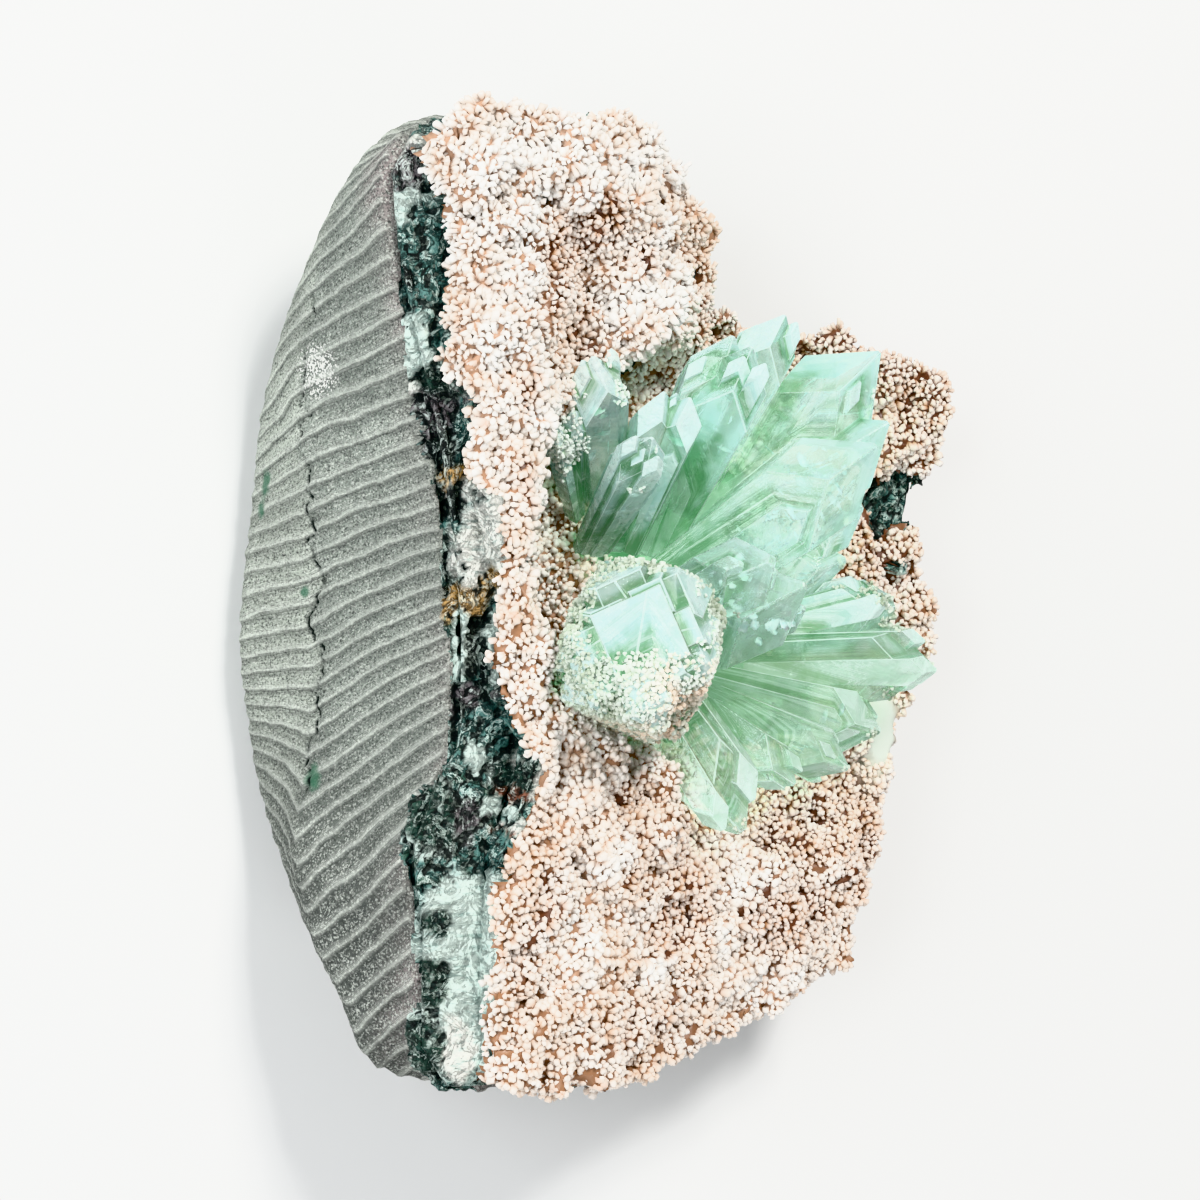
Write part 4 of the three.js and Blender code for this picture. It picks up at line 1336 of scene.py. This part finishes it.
def spray_crystals(settings):
    """Every crystal and its parallel growths as a mesh of its own, and the frames of the main ones."""
    rng = random.Random(settings.seed)
    shapes, frames = [], []
    for base, tip, width, depth, turn, blunt, growths, frosty in CRYSTALS:
        place, length_mm = crystal_frame(base, tip)
        turned = place @ Matrix.Rotation(math.radians(turn), 4, "Z")
        bevel = settings.bevel / MM
        shapes.append((sound_crystal(turned, length_mm, width, depth, blunt, bevel, rng), frosty))
        frames.append((turned, length_mm, width, depth, frosty < CLEAR_BELOW))
        stub = blunt > BLUNT
        for number in range(growths):
            share = rng.uniform(0.36, 0.56) if stub else rng.uniform(0.2, 0.5)
            turn_on = 2.0 * math.pi * (number + rng.uniform(0.2, 0.8)) / max(growths, 1)
            aside = rng.uniform(0.18, 0.36)
            shift = (aside * math.cos(turn_on) * width, aside * math.sin(turn_on) * depth)
            shorter = length_mm * (rng.uniform(0.975, 1.012) if stub else rng.uniform(0.74, 1.0))
            most = SPLAY * (0.3 if stub else 1.0)
            splay = Euler((rng.uniform(-most, most), rng.uniform(-most, most), 0.0)).to_matrix().to_4x4()
            part = sound_crystal(
                turned @ splay, shorter, width * share, depth * share, min(blunt + 0.04, BLUNT_MOST),
                bevel * 0.8, rng, offset=shift,
            )
            shapes.append((part, frosty))
    parts = bpy.data.collections.new("Crystals")
    for number, (shape, frosty) in enumerate(shapes):
        layer = shape.verts.layers.float.new("frosty")
        for vert in shape.verts:
            vert[layer] = frosty
        mesh = bpy.data.meshes.new(f"crystal_{number}")
        shape.to_mesh(mesh)
        shape.free()
        parts.objects.link(bpy.data.objects.new(mesh.name, mesh))
    return parts, frames


def grown_together(name, parts):
    """The crystals united in one closed surface, so that no wall is left inside."""
    first, *others = parts.objects
    piece = new_object(name, first.data.copy())
    rest = bpy.data.collections.new("Other crystals")
    for other in others:
        rest.objects.link(other)
    union = piece.modifiers.new("Grown together", "BOOLEAN")
    union.operation = "UNION"
    union.solver = "MANIFOLD"
    union.operand_type = "COLLECTION"
    union.collection = rest
    apply_modifiers(piece)
    bpy.data.collections.remove(rest)
    return piece


def veil_shape(frames, settings):
    """Healed cracks and wisps inside the crystals, most in the clear ones: thin closed flakes."""
    rng = random.Random(settings.seed + 1)
    shape = bmesh.new()
    for turned, length_mm, width, depth, clear in frames:
        for number in range(int(2.0 * width) if clear else 8):
            wisp = number % 3 > 0
            aside, before, up = rng.uniform(-0.3, 0.3), rng.uniform(-0.3, 0.3), rng.uniform(0.4, 0.82)
            at = Vector((aside * width, before * depth, up * length_mm))
            around = Matrix.Rotation(rng.uniform(0.0, math.pi), 4, "Z")
            lean = Matrix.Rotation(rng.uniform(-0.25, 0.25) + (math.pi / 2 if wisp else 0.0), 4, "X")
            reach = settings.veil / MM * rng.uniform(0.25, 0.6)
            across = reach * (0.07 if wisp else rng.uniform(0.5, 0.9))
            size = Matrix.Diagonal((across if wisp else reach, reach if wisp else across, 0.05, 1.0))
            made = bmesh.ops.create_uvsphere(
                shape, u_segments=rng.choice((5, 6, 7)), v_segments=3, radius=0.5,
                matrix=Matrix.Scale(MM, 4) @ turned @ Matrix.Translation(at) @ around @ lean @ size,
            )
            for vert in made["verts"]:
                vert.co += Vector([rng.uniform(-0.12, 0.12) * reach * MM * 0.4 for _ in range(3)])
    bmesh.ops.recalc_face_normals(shape, faces=shape.faces)
    return shape


def crystal_habit():
    """How a crystal's colour changes along it: green root, cloudy streaks along it, frosted end; and painted
    glints and painted dark reflections in patches.
    """
    name = "Crystal habit"
    tree = bpy.data.node_groups.get(name)
    if tree:
        return tree
    tree = bpy.data.node_groups.new(name, "ShaderNodeTree")
    for label in ("Root", "Tip", "Frost", "Streaks", "Relief", "Glint", "Shade"):
        tree.interface.new_socket(label, in_out="OUTPUT", socket_type="NodeSocketFloat")
    end = tree.nodes.new("NodeGroupOutput")
    place = object_place(tree)
    local = add_node(tree, "ShaderNodeAttribute", attribute_name="local").outputs["Vector"]
    along = field(tree, "along")
    worn = field(tree, "worn")
    frosty = field(tree, "frosty")
    cloud = noise_texture(tree, place, 150.0, detail=5.0, roughness=0.62, distortion=0.6)
    fine = noise_texture(tree, place, 700.0, detail=3.0, roughness=0.6)
    drawn = add_node(tree, "ShaderNodeMapping", {"Vector": local, "Scale": (1.0, 1.0, 0.16)}).outputs[0]
    striae = noise_texture(tree, drawn, 620.0, detail=3.0, roughness=0.6)
    wisps = noise_texture(tree, drawn, 330.0, detail=4.0, roughness=0.7, distortion=1.2)
    ridge = math_node(tree, "ABSOLUTE", minus(tree, wisps, 0.5))
    streaks = times(tree, remap(tree, ridge, 0.05, 0.0), remap(tree, cloud, 0.4, 0.6))
    warped = plus(tree, along, remap(tree, cloud, 0.25, 0.75, -0.2, 0.2))
    root = remap(tree, warped, 0.54, 0.12, smooth=True)
    tip = remap(tree, warped, 0.5, 1.0, smooth=True)
    ends = remap(tree, plus(tree, warped, times(tree, frosty, 0.4)), 0.8, 1.2)
    coat = remap(tree, plus(tree, cloud, times(tree, frosty, 0.3)), 0.62, 0.86)
    frost = times(tree, greater(tree, ends, coat), remap(tree, fine, 0.34, 0.6, 0.25, 1.0))
    frost = greater(tree, frost, times(tree, worn, remap(tree, fine, 0.3, 0.5, 0.3, 0.9)))
    bent = add_node(tree, "ShaderNodeMapping", {"Vector": local, "Scale": (1.0, 1.0, 0.45)}).outputs[0]
    inner = add_node(tree, "ShaderNodeTexVoronoi", {"Vector": bent, "Scale": 210.0}).outputs["Color"]
    plate = add_node(tree, "ShaderNodeSeparateColor", {0: inner}).outputs[0]
    relief = plus(tree, striae, times(tree, cloud, 1.6))
    relief = plus(tree, relief, times(tree, times(tree, fine, frost), 1.2))
    relief = plus(tree, relief, times(tree, plate, 0.5))
    # Painted glints: bright patches and specks, as reflections inside the crystal.
    flecks = noise_texture(tree, bent, 1300.0, detail=2.0, roughness=0.5)
    flecks = times(tree, remap(tree, flecks, 0.62, 0.7), remap(tree, cloud, 0.42, 0.58))
    painted_glint = remap(tree, plus(tree, plate, times(tree, cloud, 0.3)), 0.82, 0.96)
    painted_glint = greater(tree, painted_glint, flecks)
    # Painted dark reflections: olive patches, as shade seen deep inside.
    shade = remap(tree, minus(tree, plate, times(tree, along, 0.2)), 0.22, 0.05)
    for socket, value in zip(end.inputs, (root, tip, frost, streaks, relief, painted_glint, shade)):
        tree.links.new(value, socket)
    return tree


def let_lamp_light_through(tree, shader, tint):
    """Light that falls through a crystal is only tinted by it, so that what lies behind stays lit."""
    lamp = add_node(tree, "ShaderNodeLightPath").outputs["Is Shadow Ray"]
    passing = add_node(tree, "ShaderNodeBsdfTransparent", {"Color": (*tint, 1.0)}).outputs[0]
    both = add_node(tree, "ShaderNodeMixShader", {0: lamp, 1: shader.outputs[0], 2: passing}).outputs[0]
    tree.links.new(both, tree.nodes["Material Output"].inputs["Surface"])


def crystal_material(name, settings, clear):
    material, tree, shader = start_material(name)
    habit = add_node(tree, "ShaderNodeGroup", node_tree=crystal_habit()).outputs
    tint = paint(
        tree, settings.clear if clear else settings.milky,
        (habit["Root"], settings.root),
        (times(tree, habit["Tip"], 0.9), settings.tip),
        # painted highlight on the front clear crystal
        (times(tree, field(tree, "sage"), 0.6), settings.sage),
        (times(tree, field(tree, "glassy"), 0.6), settings.frost),
        # painted dark reflections in olive, then painted glints in frost white
        (times(tree, habit["Shade"], 0.3 if clear else 0.15), settings.olive),
        (times(tree, habit["Glint"], 0.8 if clear else 0.4), settings.frost),
        (times(tree, habit["Streaks"], 0.6), settings.frost),
        (times(tree, habit["Frost"], 0.7), settings.frost),
    )
    tree.links.new(tint, shader.inputs["Base Color"])
    low, high = (0.04, 0.3) if clear else (0.12, 0.5)
    mist = greater(tree, habit["Frost"], times(tree, habit["Streaks"], 0.6))
    tree.links.new(remap(tree, mist, 0.0, 1.0, low, high), shader.inputs["Roughness"])
    tree.links.new(bump(tree, habit["Relief"], 0.22 if clear else 0.5, 0.0006), shader.inputs["Normal"])
    shader.inputs["Transmission Weight"].default_value = settings.clarity if clear else settings.haze
    shader.inputs["IOR"].default_value = REFRACTION
    let_lamp_light_through(tree, shader, LAMP_LIGHT)
    absorption = add_node(
        tree, "ShaderNodeVolumeAbsorption", {"Color": (*settings.tint, 1.0), "Density": settings.depth}
    )
    tree.links.new(absorption.outputs[0], tree.nodes["Material Output"].inputs["Volume"])
    return material


def veil_material(settings):
    material, tree, shader = start_material("apophyllite_veils")
    mottle = noise_texture(tree, object_place(tree), 900.0, detail=3.0)
    tint = mix_colour(tree, remap(tree, mottle, 0.35, 0.65), settings.milky, settings.frost)
    tree.links.new(tint, shader.inputs["Base Color"])
    shader.inputs["Roughness"].default_value = 0.25
    return material


def sugar_material(settings, crust):
    material, tree, shader = start_material("apophyllite_sugar")
    tip, stain, tone = field(tree, "tip"), field(tree, "stain"), field(tree, "tone")
    tint = paint(
        tree, settings.grains,
        (remap(tree, tip, 0.0, 0.8, 0.9, 0.1), settings.sage),
        (times(tree, field(tree, "low"), remap(tree, tone, 0.0, 1.0, 0.4, 1.0)), settings.coat),
        (times(tree, stain, remap(tree, tone, 0.0, 1.0, 0.35, 1.0)), crust.cream),
        (times(tree, stain, remap(tree, tip, 0.45, 0.0)), crust.tan),
    )
    tree.links.new(tint, shader.inputs["Base Color"])
    grain, _ = add_grain(tree, object_place(tree), 1600.0)
    tree.links.new(remap(tree, grain, 0.3, 0.7, 0.4, 0.15), shader.inputs["Roughness"])
    shader.inputs["IOR"].default_value = REFRACTION
    return material


def sugar_bed(spray, settings):
    """A plain copy of the spray that tells where it is coated; it goes once the coat has grown."""
    bed = new_object("sugar_bed", spray.data.copy())
    remesh(bed, settings.coat_cell)
    mesh = bed.data
    mm = read_points(mesh) / MM
    total = np.zeros(len(mm))
    for at, reach, amount in SUGAR_PLACES:
        total += amount * np.exp(-(((mm - np.array(at)) / reach) ** 2).sum(axis=1))
    total -= 2.0 * np.exp(-(((mm - np.array(SMOOTH_END[0])) / SMOOTH_END[1]) ** 2).sum(axis=1))
    patchy = each_point(mm, lambda p: noise.noise(p * 0.35))
    write_field(mesh, "cover", smoothstep(0.28, 0.8, total + 0.25 * patchy))
    write_field(mesh, "size", 0.4 + 0.36 * np.clip(total, 0.0, 1.0))
    write_field(mesh, "reach", np.full(len(mm), 0.75))
    x, y, z = mm.T
    foot = smoothstep(-7.0, -15.0, y) * smoothstep(20.0, 0.0, x) * smoothstep(-34.0, -20.0, x)
    write_field(mesh, "stain", foot * smoothstep(-0.1, 0.3, patchy + 0.15))
    # Painted shade: the coat is greener and greyer lower down, away from the light.
    write_field(mesh, "low", smoothstep(80.0, 69.0, z + 3.0 * patchy) * smoothstep(14.0, 6.0, y))
    write_plots(mesh, lambda centres: np.zeros(len(centres)))
    return bed


class SPECIMEN_OT_spray(Operator):
    """Grow the apophyllite spray: crystals grown together, veils inside and a coat of small crystals"""

    bl_idname = "specimen.spray"
    bl_label = "Apophyllite spray"

    def execute(self, context):
        settings = context.scene.specimen.spray
        crust = context.scene.specimen.crust
        parts, frames = spray_crystals(settings)
        piece = grown_together("apophyllite", parts)
        clear_forms(parts)
        bed = sugar_bed(piece, settings)
        forms = tuft_forms("coat", random.Random(settings.seed), 4, (1.0, 1.7), (1.0, 1.7))
        coat = grow(bed, "apophyllite_sugar", forms, settings.coat_spacing, settings.seed, 0, 0.7)
        clear_forms(forms)
        bpy.data.objects.remove(bed)
        dress(coat, "apophyllite", sugar_material(settings, crust), smooth=False)

        mesh = piece.data
        mesh.materials.clear()
        frosty = np.empty(len(mesh.vertices), np.float32)
        mesh.attributes["frosty"].data.foreach_get("value", frosty)
        sides = [int(np.mean([frosty[v] for v in face.vertices]) < CLEAR_BELOW) for face in mesh.polygons]
        x, y, z = (read_points(mesh) / MM).T
        low_right = smoothstep(2.0, -16.0, y) * smoothstep(-8.0, 4.0, x) * smoothstep(66.0, 58.0, z)
        write_field(mesh, "sage", low_right)
        # Painted highlight: the upper part of the front clear crystal is whitened, as if catching light.
        write_field(mesh, "glassy", spot(x, y, (7.0, -1.0), (12.0, 11.0)) * smoothstep(46.0, 58.0, z))
        dress(
            piece, "apophyllite", crystal_material("apophyllite_milky", settings, clear=False),
            crystal_material("apophyllite_clear", settings, clear=True), smooth=False,
        )
        mesh.polygons.foreach_set("material_index", sides)
        veils = bpy.data.meshes.new("apophyllite_veils")
        shape = veil_shape(frames, settings)
        shape.to_mesh(veils)
        shape.free()
        dress(new_object("apophyllite_veils", veils), "apophyllite", veil_material(settings))
        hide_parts("apophyllite_spray")
        return {"FINISHED"}


# The stage


def add_light(name, at, size, power, tint):
    data = bpy.data.lights.new(name, "AREA")
    data.shape = "DISK"
    data.size = size
    data.energy = power
    data.color = tint
    light = bpy.data.objects.new(name, data)
    bpy.context.scene.collection.objects.link(light)
    light.location = at
    light.rotation_euler = (MIDDLE - Vector(at)).to_track_quat("-Z", "Y").to_euler()


MIDDLE = Vector((-0.016, 0.0, 0.042))
# Lights: name, place, size, power and colour.
LIGHTS = [
    ("key", (0.02, 0.74, 1.04), 0.4, 16.8, (1.0, 0.985, 0.96)),
    ("fill", (-0.95, 0.1, 0.6), 0.8, 12.8, (0.94, 0.97, 1.0)),
    ("low", (0.1, -0.9, 0.75), 0.7, 4.0, (1.0, 0.98, 0.96)),
]
SKY = (0.95, 0.97, 1.0)
SKY_STRENGTH = 0.34


class SPECIMEN_OT_stage(Operator):
    """Set the floor, the soft lights and the camera"""

    bl_idname = "specimen.stage"
    bl_label = "Stage"

    def execute(self, context):
        settings = context.scene.specimen.stage
        shape = bmesh.new()
        bmesh.ops.create_grid(shape, x_segments=1, y_segments=1, size=3.0)
        mesh = bpy.data.meshes.new("floor")
        shape.to_mesh(mesh)
        shape.free()
        floor = new_object("floor", mesh)
        material, _, shader = start_material("floor")
        shader.inputs["Base Color"].default_value = (*settings.floor, 1.0)
        shader.inputs["Roughness"].default_value = 0.8
        mesh.materials.append(material)

        towards = Vector((-math.cos(settings.elevation), 0.0, math.sin(settings.elevation)))
        camera_data = bpy.data.cameras.new("camera")
        camera_data.lens = settings.lens
        camera_data.sensor_width = 36.0
        camera_data.clip_start = 0.01
        camera = bpy.data.objects.new("camera", camera_data)
        context.scene.collection.objects.link(camera)
        up = Vector((0.0, 1.0, 0.0))
        turn = Matrix((up.cross(towards), up, towards)).transposed()
        camera.matrix_world = Matrix.Translation(MIDDLE + towards * settings.distance) @ turn.to_4x4()
        context.scene.camera = camera

        for light in LIGHTS:
            add_light(*light)

        world = bpy.data.worlds.new("studio")
        world.use_nodes = True
        background = world.node_tree.nodes["Background"]
        background.inputs["Color"].default_value = (*SKY, 1.0)
        background.inputs["Strength"].default_value = SKY_STRENGTH
        context.scene.world = world
        context.scene.view_settings.view_transform = "Khronos PBR Neutral"
        return {"FINISHED"}


# Panel and registration


class SPECIMEN_PT_panel(Panel):
    """Lists the pieces of the specimen, in the order in which they are built"""

    bl_label = "Apophyllite cluster"
    bl_idname = "SPECIMEN_PT_panel"
    bl_space_type = "VIEW_3D"
    bl_region_type = "UI"
    bl_category = "Specimen"

    def draw(self, context):
        for operator in PIECE_OPERATORS:
            self.layout.operator(operator.bl_idname)
        settings = context.scene.specimen
        for group in (settings.stone, settings.rind, settings.crust, settings.spray, settings.stage):
            box = self.layout.box()
            for name in group.bl_rna.properties.keys():
                if name not in ("rna_type", "name"):
                    box.prop(group, name)


PIECE_OPERATORS = [
    SPECIMEN_OT_stone,
    SPECIMEN_OT_rind,
    SPECIMEN_OT_crust,
    SPECIMEN_OT_spray,
    SPECIMEN_OT_stage,
]
SETTINGS = [StoneSettings, RindSettings, CrustSettings, SpraySettings, StageSettings, SpecimenSettings]


def register():
    for cls in [*SETTINGS, *PIECE_OPERATORS, SPECIMEN_PT_panel]:
        bpy.utils.register_class(cls)
    bpy.types.Scene.specimen = PointerProperty(type=SpecimenSettings)


def unregister():
    del bpy.types.Scene.specimen
    for cls in reversed([*SETTINGS, *PIECE_OPERATORS, SPECIMEN_PT_panel]):
        bpy.utils.unregister_class(cls)


def main():
    register()
    bpy.ops.specimen.stone()
    bpy.ops.specimen.rind()
    bpy.ops.specimen.crust()
    bpy.ops.specimen.spray()
    bpy.ops.specimen.stage()


if __name__ == "__main__":
    main()
